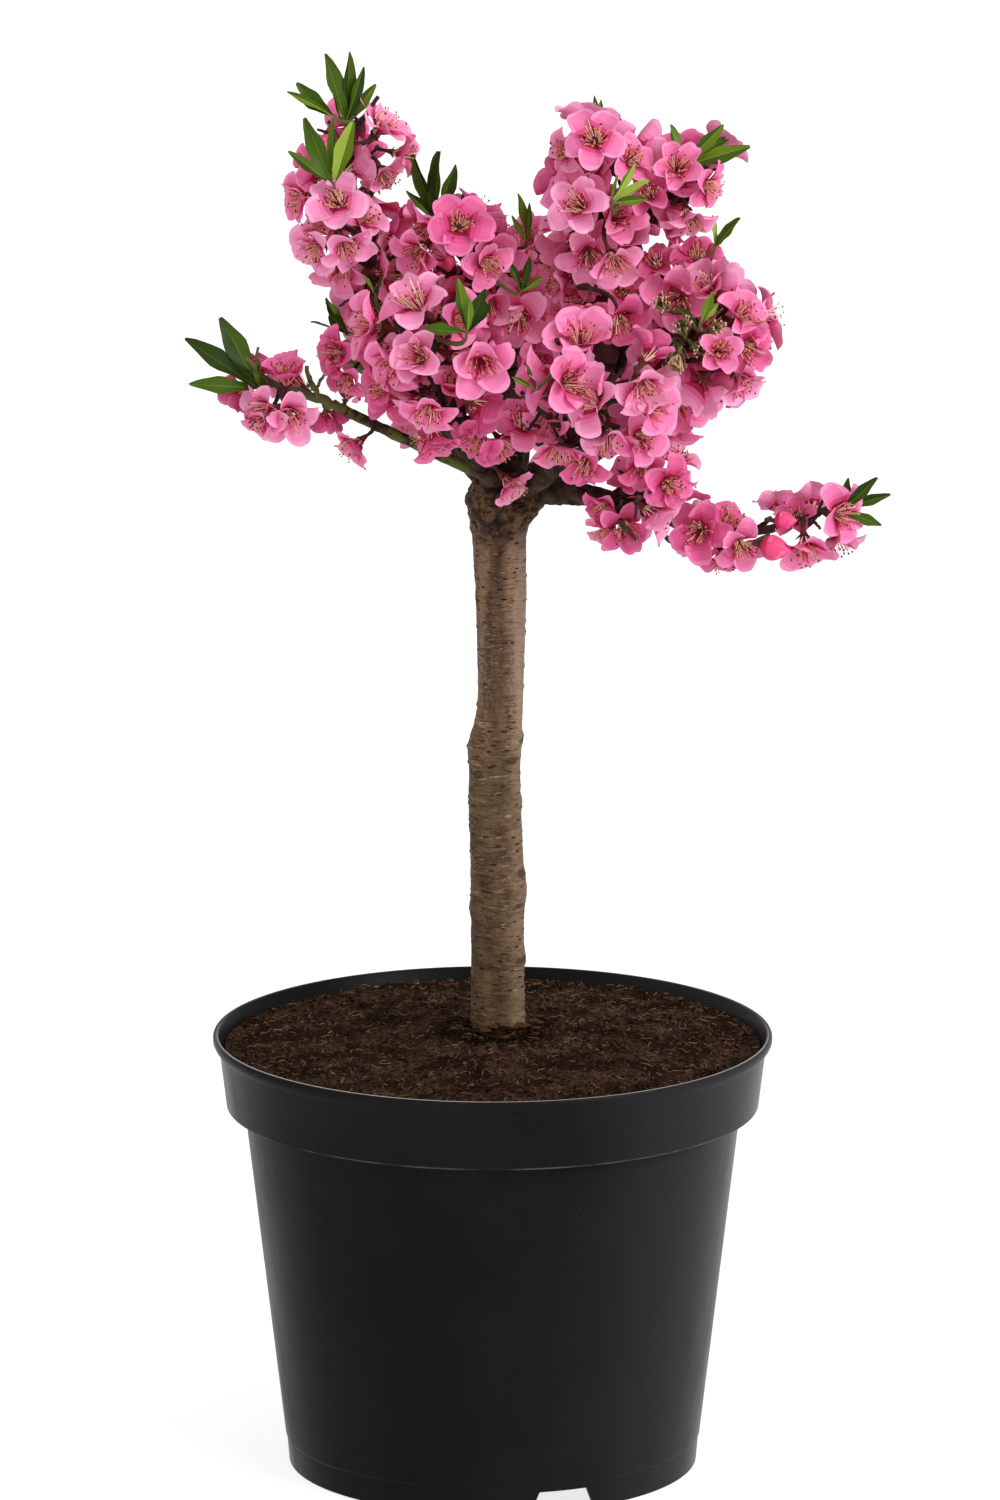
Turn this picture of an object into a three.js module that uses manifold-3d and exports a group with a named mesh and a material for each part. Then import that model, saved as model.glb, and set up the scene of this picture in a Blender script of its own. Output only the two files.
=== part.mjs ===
// Dwarf peach tree in blossom: a short grafted stem in a round nursery pot, with an open crown of
// flowering arms. Sizes are in millimetres, +Z is up, and the origin is the centre of the pot's
// underside, on the ground. -Y is the front.
//
// The crown is built as it grows. Each arm is a bough that ends where the blossom begins, and a mass:
// a stem that goes on from the bough's tip, side twigs that branch from the stem by a seeded rule,
// blossoms set in turn round the wood, and a tuft of young leaves at each tip.

import * as THREE from "three";
import { mergeVertices } from "three/addons/utils/BufferGeometryUtils.js";
import Module from "manifold-3d";

const wasm = await Module();
wasm.setup();

// ------------------------------------------------------------------ driving dimensions

const GAP = 0.3; // between neighbouring pieces

const POT = {
  height: 220,
  lipRadius: 140,
  lipHeight: 6,
  skirtRadius: 136.8, // just under the lip
  skirtFoot: 133.2, // at the skirt's lower edge
  skirtHeight: 36,
  bodyRadius: 124.4, // just under the skirt
  footRadius: 102.6,
  creaseHeight: 14,
  creaseStep: 0.5,
  wall: 2.5,
  discRadius: 55, // the middle of the base, which stands on the ground
  channelHeight: 11.5, // the drained channel round the disc
  sides: 36,
};
const NOTCH = { count: 3, firstTurn: -70, topWidth: 25, bottomWidth: 35, height: 10.7 };
const DRAIN = { count: 4, radius: 6, circle: 77, sides: 8 };

const SOIL = { edgeBelowRim: 5.5, crownAboveRim: 1.4, seat: 17, lump: 1.3, rings: 4, seed: 11 };

// The stem from the soil to the head where the crown was grafted: share of the height, how far its
// centre stands to the right, and its radius.
const TRUNK_LINE = [
  { at: 0.0, right: 2.8, radius: 14.2 },
  { at: 0.06, right: 2.8, radius: 13.4 },
  { at: 0.3, right: 2.2, radius: 13.1 },
  { at: 0.45, right: 1.0, radius: 12.6 },
  { at: 0.6, right: 4.0, radius: 11.3 },
  { at: 0.78, right: 4.2, radius: 12.5 },
  { at: 0.88, right: 3.4, radius: 14.0 },
  { at: 0.945, right: 4.8, radius: 18.6 },
  { at: 0.985, right: 5.2, radius: 15.2 },
  { at: 1.0, right: 5.4, radius: 9.0 },
];
// Healed scars of old side shoots: share of the height, the side they face in degrees from +X, how
// far they stand out, and how tall they are.
const KNOTS = [
  { at: 0.51, turn: 180, swell: 2.4, tall: 19 },
  { at: 0.52, turn: 0, swell: 1.0, tall: 10 },
  { at: 0.25, turn: -10, swell: 1.7, tall: 20 },
  { at: 0.41, turn: 0, swell: 0.8, tall: 8 },
  { at: 0.13, turn: -20, swell: 1.3, tall: 10 },
  { at: 0.66, turn: 120, swell: 1.2, tall: 10 },
  { at: 0.22, turn: 150, swell: 1.0, tall: 9 },
  { at: 0.93, turn: -8, swell: 3.4, tall: 11 }, // the stub of a bough that was cut back
];
const KNOT_WIDTH = 0.8; // radians round the stem
const TRUNK = { headHeight: 508, sides: 14, rings: 26 };

// One arm for each way the crown grows. root, bend and tip draw the bough, radii are at its two ends,
// top is where the mass's stem ends, reach is how far the mass stands off its stem, twigs are its side
// twigs, step is the wood between one blossom and the next, and leaves are in the tuft at the top.
const ARMS = [
  { name: "low_left", root: [2, -3, 502], bend: [-38, -16, 522], tip: [-72, -25, 541],
    radii: [3.5, 2.7], top: [-122, -33, 559], reach: 29, twigs: 1, step: 8, leaves: 4, seed: 4199 },
  { name: "left", root: [3, 0, 498], bend: [-14, 0, 520], tip: [-40, -4, 562],
    radii: [8, 5], top: [-71, -8, 683], reach: 38, twigs: 8, step: 9, leaves: 4, seed: 869 },
  { name: "front_left", root: [3, -5, 500], bend: [-8, -24, 514], tip: [-16, -33, 534],
    radii: [7, 4.6], top: [-36, -60, 582], reach: 45, twigs: 8, step: 8, leaves: 3, seed: 2812 },
  { name: "centre", root: [8, 2, 500], bend: [13, -1, 528], tip: [8, -4, 558],
    radii: [7.5, 5], top: [-24, -18, 628], reach: 40, twigs: 7, step: 8, leaves: 4, seed: 8000 },
  { name: "front_right", root: [13, -5, 499], bend: [26, -30, 506], tip: [32, -42, 520],
    radii: [7, 4.6], top: [52, -72, 562], reach: 46, twigs: 8, step: 8, leaves: 2, seed: 4625 },
  { name: "right", root: [8, 0, 496], bend: [54, -4, 504], tip: [55, -6, 562],
    radii: [9.5, 6], top: [53, -12, 668], reach: 38, twigs: 8, step: 8, leaves: 2, seed: 4889 },
  { name: "high_right", root: [54, -3, 538], bend: [66, 16, 560], tip: [70, 11, 612],
    radii: [5, 3.4], top: [102, 0, 655], reach: 32, twigs: 4, step: 8, leaves: 4, seed: 7361 },
  { name: "side_right", root: [50, -4, 530], bend: [68, -12, 540], tip: [80, -15, 556],
    radii: [5.6, 4], top: [107, -15, 585], reach: 44, twigs: 8, step: 8, leaves: 3, seed: 3962 },
  { name: "low_right", root: [8, -1, 495], bend: [52, -10, 500], tip: [88, -24, 486],
    radii: [8, 3.2], top: [170, -31, 495], reach: 26, twigs: 0, step: 8, leaves: 4, seed: 8605 },
  { name: "under_right", root: [44, -9, 497], bend: [46, -26, 498], tip: [52, -36, 499],
    radii: [4.4, 3.6], top: [82, -50, 500], reach: 37, twigs: 4, step: 7, leaves: 2, seed: 223 },
  { name: "back_left", root: [0, 4, 498], bend: [-18, 28, 512], tip: [-28, 38, 530],
    radii: [7, 4.6], top: [-54, 64, 588], reach: 46, twigs: 8, step: 8, leaves: 3, seed: 8661 },
  { name: "back", root: [8, 5, 498], bend: [14, 36, 510], tip: [18, 50, 528],
    radii: [7, 4.6], top: [22, 86, 584], reach: 46, twigs: 8, step: 8, leaves: 3, seed: 3580 },
  { name: "back_right", root: [44, -1, 512], bend: [62, 28, 520], tip: [72, 38, 530],
    radii: [6, 4.2], top: [100, 62, 566], reach: 43, twigs: 7, step: 8, leaves: 3, seed: 6144 },
  { name: "low_back", root: [6, 4, 495], bend: [20, 40, 501], tip: [28, 70, 495],
    radii: [6, 3.2], top: [34, 126, 505], reach: 28, twigs: 1, step: 8, leaves: 3, seed: 1765 },
];
const BOUGH = { sides: 7, rings: 5 };
const STEM = { sides: 5, rings: 4, tipRadius: 1.6, hold: 0.45 }; // hold: how long it keeps its bough's heading
const TWIG = { sides: 3, rings: 2, radii: [2, 1.3], length: [0.4, 0.8], pitch: [0.3, 0.9], lift: 0.2, blossoms: 3 };

// A blossom's sizes as shares of its radius: five petals round a throat, on a calyx and a short stalk.
const BLOSSOM = {
  radius: 19,
  petals: 5,
  stalk: [4, 20], // mm from the bark to the calyx, on the wood itself or on a short spur
  lean: [0.1, 0.7], // radians towards the shoot's tip
  throat: 0.14,
  shoulderTurn: 0.46, // radians to each side of a petal's middle
  shoulderRise: 0.42,
  notch: 0.6,
  notchRise: 0.24,
  calyx: 0.2,
  crowding: 0.66, // least distance between two blossoms, as a share of their radii together
  tries: 16,
};
const LEAF = { length: 31, width: 9.5, thick: 0.9, widest: 0.45, curl: 3, root: 2, twist: 1.3 };
const TUFT = { spread: 0.62, tries: 3 };
const GOLDEN_TURN = 2.39996;

// How far a leaf, petal or twig keeps from its neighbours' spaces and from the wood.
const SPACE_GAP = 1;
const WOOD_GAP = 2;
const SAMPLES = 20;

// ------------------------------------------------------------------ small tools

const vec = (list) => new THREE.Vector3(...list);

// A seeded die, so that the same plant grows each time. Each shoot of a mass has its own.
function dice(seed, shoot) {
  let state = Math.imul(100 * seed + shoot, 2654435761) >>> 0;
  return () => {
    state = (Math.imul(state, 1664525) + 1013904223) >>> 0;
    return state / 4294967296;
  };
}

function solidOf(geometry) {
  const bare = new THREE.BufferGeometry();
  bare.setAttribute("position", geometry.getAttribute("position"));
  bare.setIndex(geometry.index);
  const merged = mergeVertices(bare, 1e-4);
  return new wasm.Manifold(
    new wasm.Mesh({
      numProp: 3,
      vertProperties: new Float32Array(merged.attributes.position.array),
      triVerts: new Uint32Array(merged.index.array),
    }),
  );
}

function geometryOf(solid) {
  const { vertProperties, triVerts } = solid.getMesh();
  return new THREE.BufferGeometry()
    .setAttribute("position", new THREE.BufferAttribute(vertProperties, 3))
    .setIndex(new THREE.BufferAttribute(triVerts, 1))
    .toNonIndexed();
}

function piece(name, solid, material) {
  const geometry = geometryOf(solid);
  geometry.computeVertexNormals();
  const mesh = new THREE.Mesh(geometry, material);
  mesh.name = name;
  return mesh;
}

const material = (color, roughness) => new THREE.MeshStandardMaterial({ color, roughness, metalness: 0 });

// ------------------------------------------------------------------ limbs

// The point, the way the wood runs, and two directions across it, at share t of a limb's curve.
function frameAt(curve, t) {
  const chord = curve.v2.clone().sub(curve.v0).normalize();
  const guide = Math.abs(chord.z) > 0.75 ? new THREE.Vector3(0, 1, 0) : new THREE.Vector3(0, 0, 1);
  const along = curve.getTangent(t);
  const across = new THREE.Vector3().crossVectors(guide, along).normalize();
  const out = new THREE.Vector3().crossVectors(across, along).normalize();
  return { point: curve.getPoint(t), along, across, out };
}

// A round tapering limb along a curve, closed at both ends. radiusAt takes a share of the length.
function limbSolid(curve, radiusAt, sides, rings) {
  const shape = new THREE.CylinderGeometry(1, 1, 1, sides, rings);
  const place = shape.attributes.position;
  const local = new THREE.Vector3();
  for (let i = 0; i < place.count; i += 1) {
    local.fromBufferAttribute(place, i);
    const t = THREE.MathUtils.clamp(local.y + 0.5, 0, 1);
    const { point, across, out } = frameAt(curve, t);
    const radius = radiusAt(t);
    point.addScaledVector(across, local.x * radius).addScaledVector(out, local.z * radius);
    place.setXYZ(i, point.x, point.y, point.z);
  }
  return solidOf(shape);
}

// Points along a limb with the radius there, to measure distances to it.
function samplesOf(curve, radiusAt) {
  return Array.from({ length: SAMPLES + 1 }, (_, i) => ({
    point: curve.getPoint(i / SAMPLES),
    radius: radiusAt(i / SAMPLES),
  }));
}

const taper = ([thick, thin]) => (t) => THREE.MathUtils.lerp(thick, thin, t);

// ------------------------------------------------------------------ pot

function potSolid() {
  const { height, wall, lipRadius, lipHeight, skirtRadius, skirtFoot, skirtHeight } = POT;
  const { bodyRadius, footRadius, creaseHeight, creaseStep, discRadius, channelHeight } = POT;
  const skirtBase = height - skirtHeight;
  const creaseRadius = footRadius + 1.2;
  const profile = [
    [0, 0],
    [discRadius, 0],
    [discRadius, channelHeight],
    [footRadius - wall, channelHeight],
    [footRadius - wall, 0],
    [footRadius, 0],
    [creaseRadius, creaseHeight],
    [creaseRadius + creaseStep, creaseHeight],
    [bodyRadius, skirtBase],
    [skirtFoot, skirtBase],
    [skirtRadius, height - lipHeight],
    [lipRadius, height - lipHeight],
    [lipRadius, height],
    [lipRadius - wall, height],
    [skirtRadius - wall, height - lipHeight],
    [skirtFoot - wall, skirtBase + wall],
    [bodyRadius - wall, skirtBase],
    [footRadius - wall + 0.8, creaseHeight],
    [discRadius - wall, creaseHeight],
    [discRadius - wall, wall],
    [0, wall],
  ].map(([r, z]) => new THREE.Vector2(r, z));
  const shell = solidOf(new THREE.LatheGeometry(profile, POT.sides).rotateX(Math.PI / 2));
  return shell.subtract(wasm.Manifold.union([...notchTools(), ...drainTools()]));
}

// Trapezoid notches in the foot ring, that let the water out.
function notchTools() {
  const { count, firstTurn, topWidth, bottomWidth, height } = NOTCH;
  const depth = 20;
  const outline = new THREE.Shape([
    new THREE.Vector2(-bottomWidth / 2, -1),
    new THREE.Vector2(bottomWidth / 2, -1),
    new THREE.Vector2(topWidth / 2, height),
    new THREE.Vector2(-topWidth / 2, height),
  ]);
  return Array.from({ length: count }, (_, i) => {
    const tool = new THREE.ExtrudeGeometry(outline, { depth, bevelEnabled: false });
    tool.rotateX(Math.PI / 2).translate(0, depth / 2 - POT.footRadius, 0);
    tool.rotateZ(THREE.MathUtils.degToRad(firstTurn + 90 + (i * 360) / count));
    return solidOf(tool);
  });
}

// Round holes through the roof of the channel.
function drainTools() {
  const { count, radius, circle, sides } = DRAIN;
  const tall = POT.creaseHeight - POT.channelHeight + 2;
  return Array.from({ length: count }, (_, i) => {
    const turn = ((i + 0.5) * 2 * Math.PI) / count;
    const tool = new THREE.CylinderGeometry(radius, radius, tall, sides).rotateX(Math.PI / 2);
    tool.translate(circle * Math.cos(turn), circle * Math.sin(turn), POT.channelHeight - 1 + tall / 2);
    return solidOf(tool);
  });
}

// ------------------------------------------------------------------ soil

const soilEdge = POT.height - SOIL.edgeBelowRim;
const soilCrown = POT.height + SOIL.crownAboveRim;

// The potting soil fills the pot and rises a little to the stem, which stands on a level seat.
function soilSolid() {
  const { wall, discRadius, creaseHeight, footRadius, bodyRadius, skirtFoot, skirtHeight } = POT;
  const skirtBase = POT.height - skirtHeight;
  const edge = skirtFoot + ((POT.skirtRadius - skirtFoot) * (soilEdge - skirtBase)) / (skirtHeight - POT.lipHeight);
  const inner = wall + GAP;
  const profile = [
    [0, inner],
    [discRadius - inner, inner],
    [discRadius - inner, creaseHeight + GAP],
    [footRadius - inner + 0.5, creaseHeight + GAP],
    [bodyRadius - inner, skirtBase],
    [skirtFoot - inner - GAP, skirtBase + wall + 2 * GAP],
    [edge - inner - GAP, soilEdge],
  ];
  const edgeRadius = edge - inner - GAP;
  for (let i = 1; i < SOIL.rings; i += 1) {
    const share = i / SOIL.rings;
    const radius = THREE.MathUtils.lerp(edgeRadius, SOIL.seat, share);
    profile.push([radius, THREE.MathUtils.lerp(soilEdge, soilCrown, share ** 0.8)]);
  }
  profile.push([SOIL.seat, soilCrown], [0, soilCrown]);
  const shape = new THREE.LatheGeometry(profile.map(([r, z]) => new THREE.Vector2(r, z)), POT.sides);
  shape.rotateX(Math.PI / 2);
  const place = shape.attributes.position;
  for (let i = 0; i < place.count; i += 1) {
    const [x, y, z] = [place.getX(i), place.getY(i), place.getZ(i)];
    const radius = Math.hypot(x, y);
    if (z > soilEdge + 0.1 && radius > SOIL.seat + 1) place.setZ(i, z + lumpAt(x, y));
  }
  return solidOf(shape);
}

// Low lumps of soil, by three waves that cross.
function lumpAt(x, y) {
  const wave = Math.sin(x * 0.11 + SOIL.seed) + Math.sin(y * 0.13 + x * 0.05) + Math.sin(x * 0.07 - y * 0.09);
  return (SOIL.lump * wave) / 3;
}

// ------------------------------------------------------------------ trunk

// Centre and radius of the stem at share t of its height, on a smooth line through TRUNK_LINE.
function trunkAt(t) {
  const last = TRUNK_LINE.length - 1;
  const next = Math.min(last, Math.max(1, TRUNK_LINE.findIndex((s) => s.at >= t)));
  const [a, b] = [TRUNK_LINE[next - 1], TRUNK_LINE[next]];
  const [before, after] = [TRUNK_LINE[Math.max(0, next - 2)], TRUNK_LINE[Math.min(last, next + 1)]];
  const span = b.at - a.at;
  const u = (t - a.at) / span;
  const smooth = (key) => {
    const leave = ((b[key] - before[key]) / (b.at - before.at)) * span;
    const arrive = ((after[key] - a[key]) / (after.at - a.at)) * span;
    return (
      a[key] * (2 * u ** 3 - 3 * u ** 2 + 1) +
      leave * (u ** 3 - 2 * u ** 2 + u) +
      b[key] * (3 * u ** 2 - 2 * u ** 3) +
      arrive * (u ** 3 - u ** 2)
    );
  };
  return { right: smooth("right"), radius: smooth("radius") };
}

// How far the knots swell the bark at height z, on the side that turn faces.
function knotSwell(z, turn) {
  return KNOTS.reduce((sum, knot) => {
    const up = (z - heightAt(knot.at)) / (knot.tall / 2);
    const aside = turn - THREE.MathUtils.degToRad(knot.turn);
    const round = Math.atan2(Math.sin(aside), Math.cos(aside)) / KNOT_WIDTH;
    return sum + knot.swell * Math.exp(-(up ** 2) - round ** 2);
  }, 0);
}

const trunkFoot = soilCrown + GAP;
const heightAt = (t) => THREE.MathUtils.lerp(trunkFoot, TRUNK.headHeight, t);

// The stem, grown fatter by grow to cut seats for the boughs.
function trunkSolid(grow = 0) {
  const shape = new THREE.CylinderGeometry(1, 1, 1, TRUNK.sides, TRUNK.rings).rotateX(Math.PI / 2);
  const place = shape.attributes.position;
  for (let i = 0; i < place.count; i += 1) {
    const [x, y] = [place.getX(i), place.getY(i)];
    const t = THREE.MathUtils.clamp(place.getZ(i) + 0.5, 0, 1);
    const { right, radius } = trunkAt(t);
    const turn = Math.atan2(y, x);
    const reach = (radius + knotSwell(heightAt(t), turn) + grow) * Math.hypot(x, y);
    const end = t === 1 ? grow : 0;
    place.setXYZ(i, right + reach * Math.cos(turn), reach * Math.sin(turn), heightAt(t) + end);
  }
  return solidOf(shape);
}

function trunkSamples() {
  return Array.from({ length: SAMPLES * 2 + 1 }, (_, i) => {
    const t = i / (SAMPLES * 2);
    const { right, radius } = trunkAt(t);
    return { point: new THREE.Vector3(right, 0, heightAt(t)), radius };
  });
}

// ------------------------------------------------------------------ boughs

const boughCurve = (arm) => new THREE.QuadraticBezierCurve3(vec(arm.root), vec(arm.bend), vec(arm.tip));
const boughSolid = (arm, grow = 0) =>
  limbSolid(boughCurve(arm), taper(arm.radii.map((r) => r + grow)), BOUGH.sides, BOUGH.rings);

// Each bough is seated 0.3 mm off its parent and off the boughs before it.
function boughSolids() {
  const made = new Map();
  const cutters = [trunkSolid(GAP)];
  for (const arm of ARMS) {
    const cut = boughSolid(arm).subtract(wasm.Manifold.union(cutters));
    made.set(arm.name, largest(cut));
    cutters.push(boughSolid(arm, GAP));
  }
  return made;
}

const largest = (solid) => solid.decompose().sort((a, b) => b.volume() - a.volume())[0];

// ------------------------------------------------------------------ masses of blossom

// The stem goes on from its bough's tip, the way the bough was heading, and turns to its own top.
function stemCurve(arm) {
  const bough = boughCurve(arm);
  const heading = bough.getTangent(1);
  const start = vec(arm.tip).addScaledVector(heading, GAP);
  const top = vec(arm.top);
  return new THREE.QuadraticBezierCurve3(start, start.clone().addScaledVector(heading, start.distanceTo(top) * STEM.hold), top);
}

const stems = ARMS.map((arm) => ({ arm, samples: samplesOf(stemCurve(arm), () => 0) }));
const wood = [trunkSamples(), ...ARMS.map((arm) => samplesOf(boughCurve(arm), taper(arm.radii)))];

const distanceTo = (point, samples) => Math.min(...samples.map((s) => point.distanceTo(s.point) - s.radius));

// A mass keeps to its own space: within reach of its stem, nearer to it than to any other, clear of wood.
function inSpace(arm, points, extra = 0) {
  const own = stems.find((s) => s.arm === arm).samples;
  return points.every((point) => {
    const depth = distanceTo(point, own) - arm.reach;
    return (
      depth < extra &&
      stems.every((s) => s.arm === arm || distanceTo(point, s.samples) - s.arm.reach > depth + SPACE_GAP) &&
      wood.every((samples) => distanceTo(point, samples) > WOOD_GAP)
    );
  });
}

const between = ([low, high], share) => THREE.MathUtils.lerp(low, high, share);

// A direction across the wood, turned round it, and leaned towards its tip.
function leaning({ along, across, out }, turn, lean) {
  return new THREE.Vector3()
    .addScaledVector(across, Math.cos(turn) * Math.cos(lean))
    .addScaledVector(out, Math.sin(turn) * Math.cos(lean))
    .addScaledVector(along, Math.sin(lean));
}

// The stem and its side twigs. A twig that would leave the space is skipped.
function shootsOf(arm) {
  const stem = { curve: stemCurve(arm), radii: [arm.radii[1], STEM.tipRadius], number: 0 };
  const shoots = [stem];
  const roll = dice(arm.seed, 99);
  let turn = roll() * 2 * Math.PI;
  for (let i = 0; i < arm.twigs; i += 1) {
    turn += GOLDEN_TURN;
    const at = frameAt(stem.curve, 0.06 + (0.9 * (i + 0.5)) / arm.twigs);
    const tries = Array.from({ length: BLOSSOM.tries }, (_, k) => {
      const length = arm.reach * between(TWIG.length, roll());
      const way = leaning(at, turn + 0.7 * k, between(TWIG.pitch, roll()));
      const middle = at.point.clone().addScaledVector(way, length / 2);
      const tip = at.point.clone().addScaledVector(way, length);
      tip.z += length * TWIG.lift;
      return new THREE.QuadraticBezierCurve3(at.point, middle, tip);
    });
    const curve = tries.find((c) => inSpace(arm, [0.5, 0.75, 1].map((t) => c.getPoint(t)), -BLOSSOM.radius / 2));
    if (curve) shoots.push({ curve, radii: TWIG.radii, number: i + 1 });
  }
  return shoots;
}

// The places along a shoot where a blossom sits, each as a share of its length. A twig's first seat is
// at its tip.
function seatsOf(arm, shoot) {
  if (shoot.number > 0) return Array.from({ length: TWIG.blossoms }, (_, i) => 0.95 - (0.5 * i) / TWIG.blossoms);
  const count = Math.round(shoot.curve.getLength() / arm.step);
  return Array.from({ length: count }, (_, i) => 0.04 + (0.86 * (i + 0.5)) / count);
}

// The blossoms of a shoot: foot in the wood, the way each faces, how far it stands off, its radius and
// its spin. Each is turned round the shoot to where it has the most room, or else is skipped.
function blossomsOf(arm, shoot, placed) {
  const roll = dice(arm.seed, shoot.number);
  const found = [];
  let turn = roll() * 2 * Math.PI;
  for (const seat of seatsOf(arm, shoot)) {
    turn += GOLDEN_TURN;
    const at = frameAt(shoot.curve, seat);
    const atTip = seat === 0.95;
    const tries = Array.from({ length: BLOSSOM.tries }, (_, k) => {
      const lean = atTip ? 1.4 - 0.1 * k : between(BLOSSOM.lean, roll());
      const way = leaning(at, turn + k * 0.9 + 0.5 * roll(), lean);
      const stand = taper(shoot.radii)(seat) + between(BLOSSOM.stalk, roll()) * (atTip ? 0.5 : 1);
      const radius = BLOSSOM.radius * (0.85 + 0.3 * roll());
      const spin = roll() * 2 * Math.PI;
      const throat = at.point.clone().addScaledVector(way, stand + BLOSSOM.throat * radius);
      return { foot: at.point, way, stand, radius, throat, spin };
    });
    const roomy = tries
      .map((blossom) => ({ blossom, room: roomFor(blossom, placed) }))
      .filter(({ blossom, room }) => room > BLOSSOM.crowding && inSpace(arm, spaceOf(blossom)));
    if (roomy.length === 0) continue;
    const { blossom } = roomy.reduce((best, next) => (next.room > best.room ? next : best));
    placed.push(blossom);
    found.push(blossom);
  }
  return found;
}

// Distance to the nearest blossom of the mass, as a share of their radii together.
const roomFor = (blossom, placed) =>
  Math.min(...placed.map((p) => p.throat.distanceTo(blossom.throat) / (p.radius + blossom.radius)), 9);

// The corners of a blossom's petals, in order round it: notch, left shoulder, right shoulder.
function petalPoints({ foot, way, stand, radius, spin }) {
  const turned = new THREE.Quaternion().setFromUnitVectors(new THREE.Vector3(0, 0, 1), way);
  const corner = (angle, r, rise) =>
    new THREE.Vector3(r * radius * Math.cos(angle + spin), r * radius * Math.sin(angle + spin), stand + rise * radius)
      .applyQuaternion(turned)
      .add(foot);
  const step = (2 * Math.PI) / BLOSSOM.petals;
  return Array.from({ length: BLOSSOM.petals }, (_, k) => [
    corner((k - 0.5) * step, BLOSSOM.notch, BLOSSOM.notchRise),
    corner(k * step - BLOSSOM.shoulderTurn, 1, BLOSSOM.shoulderRise),
    corner(k * step + BLOSSOM.shoulderTurn, 1, BLOSSOM.shoulderRise),
  ]).flat();
}

// Points all over a blossom that must have room: its corners, the middles of its petals, its throat.
function spaceOf(blossom) {
  const corners = petalPoints(blossom);
  const middles = corners.map((corner) => corner.clone().lerp(blossom.throat, 0.5));
  return [...corners, ...middles, blossom.throat];
}

// One open blossom: petals between a throat above and a calyx below, and a stalk sunk into the wood.
function blossomSolid(blossom) {
  const { foot, way, stand, radius, throat } = blossom;
  const rim = petalPoints(blossom);
  const middle = foot.clone().addScaledVector(way, stand - 0.1 * radius);
  const calyx = rim
    .filter((_, i) => i % 3 === 0)
    .map((notch) => {
      const aside = notch.clone().sub(middle);
      aside.addScaledVector(way, -aside.dot(way));
      return middle.clone().addScaledVector(aside.normalize(), BLOSSOM.calyx * radius);
    });
  const points = [throat, foot.clone().addScaledVector(way, -1), ...rim, ...calyx];
  const [top, root, firstRim, firstCalyx] = [0, 1, 2, 2 + rim.length];
  const faces = [];
  for (let k = 0; k < BLOSSOM.petals; k += 1) {
    const [notch, left, right] = [0, 1, 2].map((j) => firstRim + 3 * k + j);
    const nextNotch = firstRim + ((3 * k + 3) % rim.length);
    const [cup, nextCup] = [firstCalyx + k, firstCalyx + ((k + 1) % BLOSSOM.petals)];
    faces.push(top, notch, left, top, left, right, top, right, nextNotch);
    faces.push(cup, left, notch, cup, nextCup, left, nextCup, right, left, nextCup, nextNotch, right);
    faces.push(root, nextCup, cup);
  }
  return solidOf(new THREE.BufferGeometry().setFromPoints(points).setIndex(faces));
}

// A tuft of young leaves at the stem's tip, each a folded blade of eight faces.
function tuftSolids(arm, shoot) {
  const roll = dice(arm.seed, 50);
  const at = frameAt(shoot.curve, 1);
  const start = roll() * 2 * Math.PI;
  const leaves = [];
  for (let i = 0; i < arm.leaves; i += 1) {
    const tries = Array.from({ length: TUFT.tries }, (_, k) => {
      const spread = i === 0 ? 0.15 : TUFT.spread * (0.7 + 0.6 * roll());
      const way = leaning(at, start + (i + 0.3 * k) * GOLDEN_TURN, Math.PI / 2 - spread);
      return { way, length: LEAF.length * (0.75 + 0.4 * roll()), twist: LEAF.twist * (2 * roll() - 1) };
    });
    const fits = ({ way, length }) =>
      inSpace(arm, [0.35, 0.7, 1].map((share) => at.point.clone().addScaledVector(way, share * length)), LEAF.length);
    const leaf = tries.find(fits);
    if (leaf) leaves.push(leafSolid(at, leaf));
  }
  return leaves;
}

function leafSolid({ point, along, out }, { way, length, twist }) {
  const shape = new THREE.OctahedronGeometry(1);
  const place = shape.attributes.position;
  const side = new THREE.Vector3().crossVectors(way, Math.abs(way.dot(along)) > 0.98 ? out : along).normalize();
  side.applyAxisAngle(way, twist);
  const face = new THREE.Vector3().crossVectors(side, way).normalize();
  for (let i = 0; i < place.count; i += 1) {
    const [x, y, z] = [place.getX(i), place.getY(i), place.getZ(i)];
    const isTip = y > 0.5;
    const isEdge = Math.abs(x) > 0.5;
    const up = Math.abs(y) < 0.5 ? LEAF.widest * length : ((y + 1) / 2) * length;
    const spot = point
      .clone()
      .addScaledVector(along, -LEAF.root)
      .addScaledVector(way, up)
      .addScaledVector(side, (x * LEAF.width) / 2)
      .addScaledVector(face, z * LEAF.thick - (isTip ? LEAF.curl : 0) + (isEdge ? 1.6 : 0));
    place.setXYZ(i, spot.x, spot.y, spot.z);
  }
  return solidOf(shape);
}

// Stem, twigs, blossoms and leaves fused into one solid. Scraps and sealed hollows are dropped.
function massSolid(arm) {
  const placed = [];
  const shoots = shootsOf(arm);
  const parts = tuftSolids(arm, shoots[0]);
  for (const shoot of shoots.toReversed()) {
    const blossoms = blossomsOf(arm, shoot, placed);
    const { sides, rings } = shoot.number === 0 ? STEM : TWIG;
    if (shoot.number > 0 && blossoms.length === 0) continue;
    parts.push(limbSolid(shoot.curve, taper(shoot.radii), sides, rings), ...blossoms.map(blossomSolid));
  }
  return largest(wasm.Manifold.union(parts));
}

// ------------------------------------------------------------------ the tree

const bark = material("#6b5341", 0.85);
const limbBark = material("#4a3a2c", 0.85);
const pink = material("#d9639a", 0.6);

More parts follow.
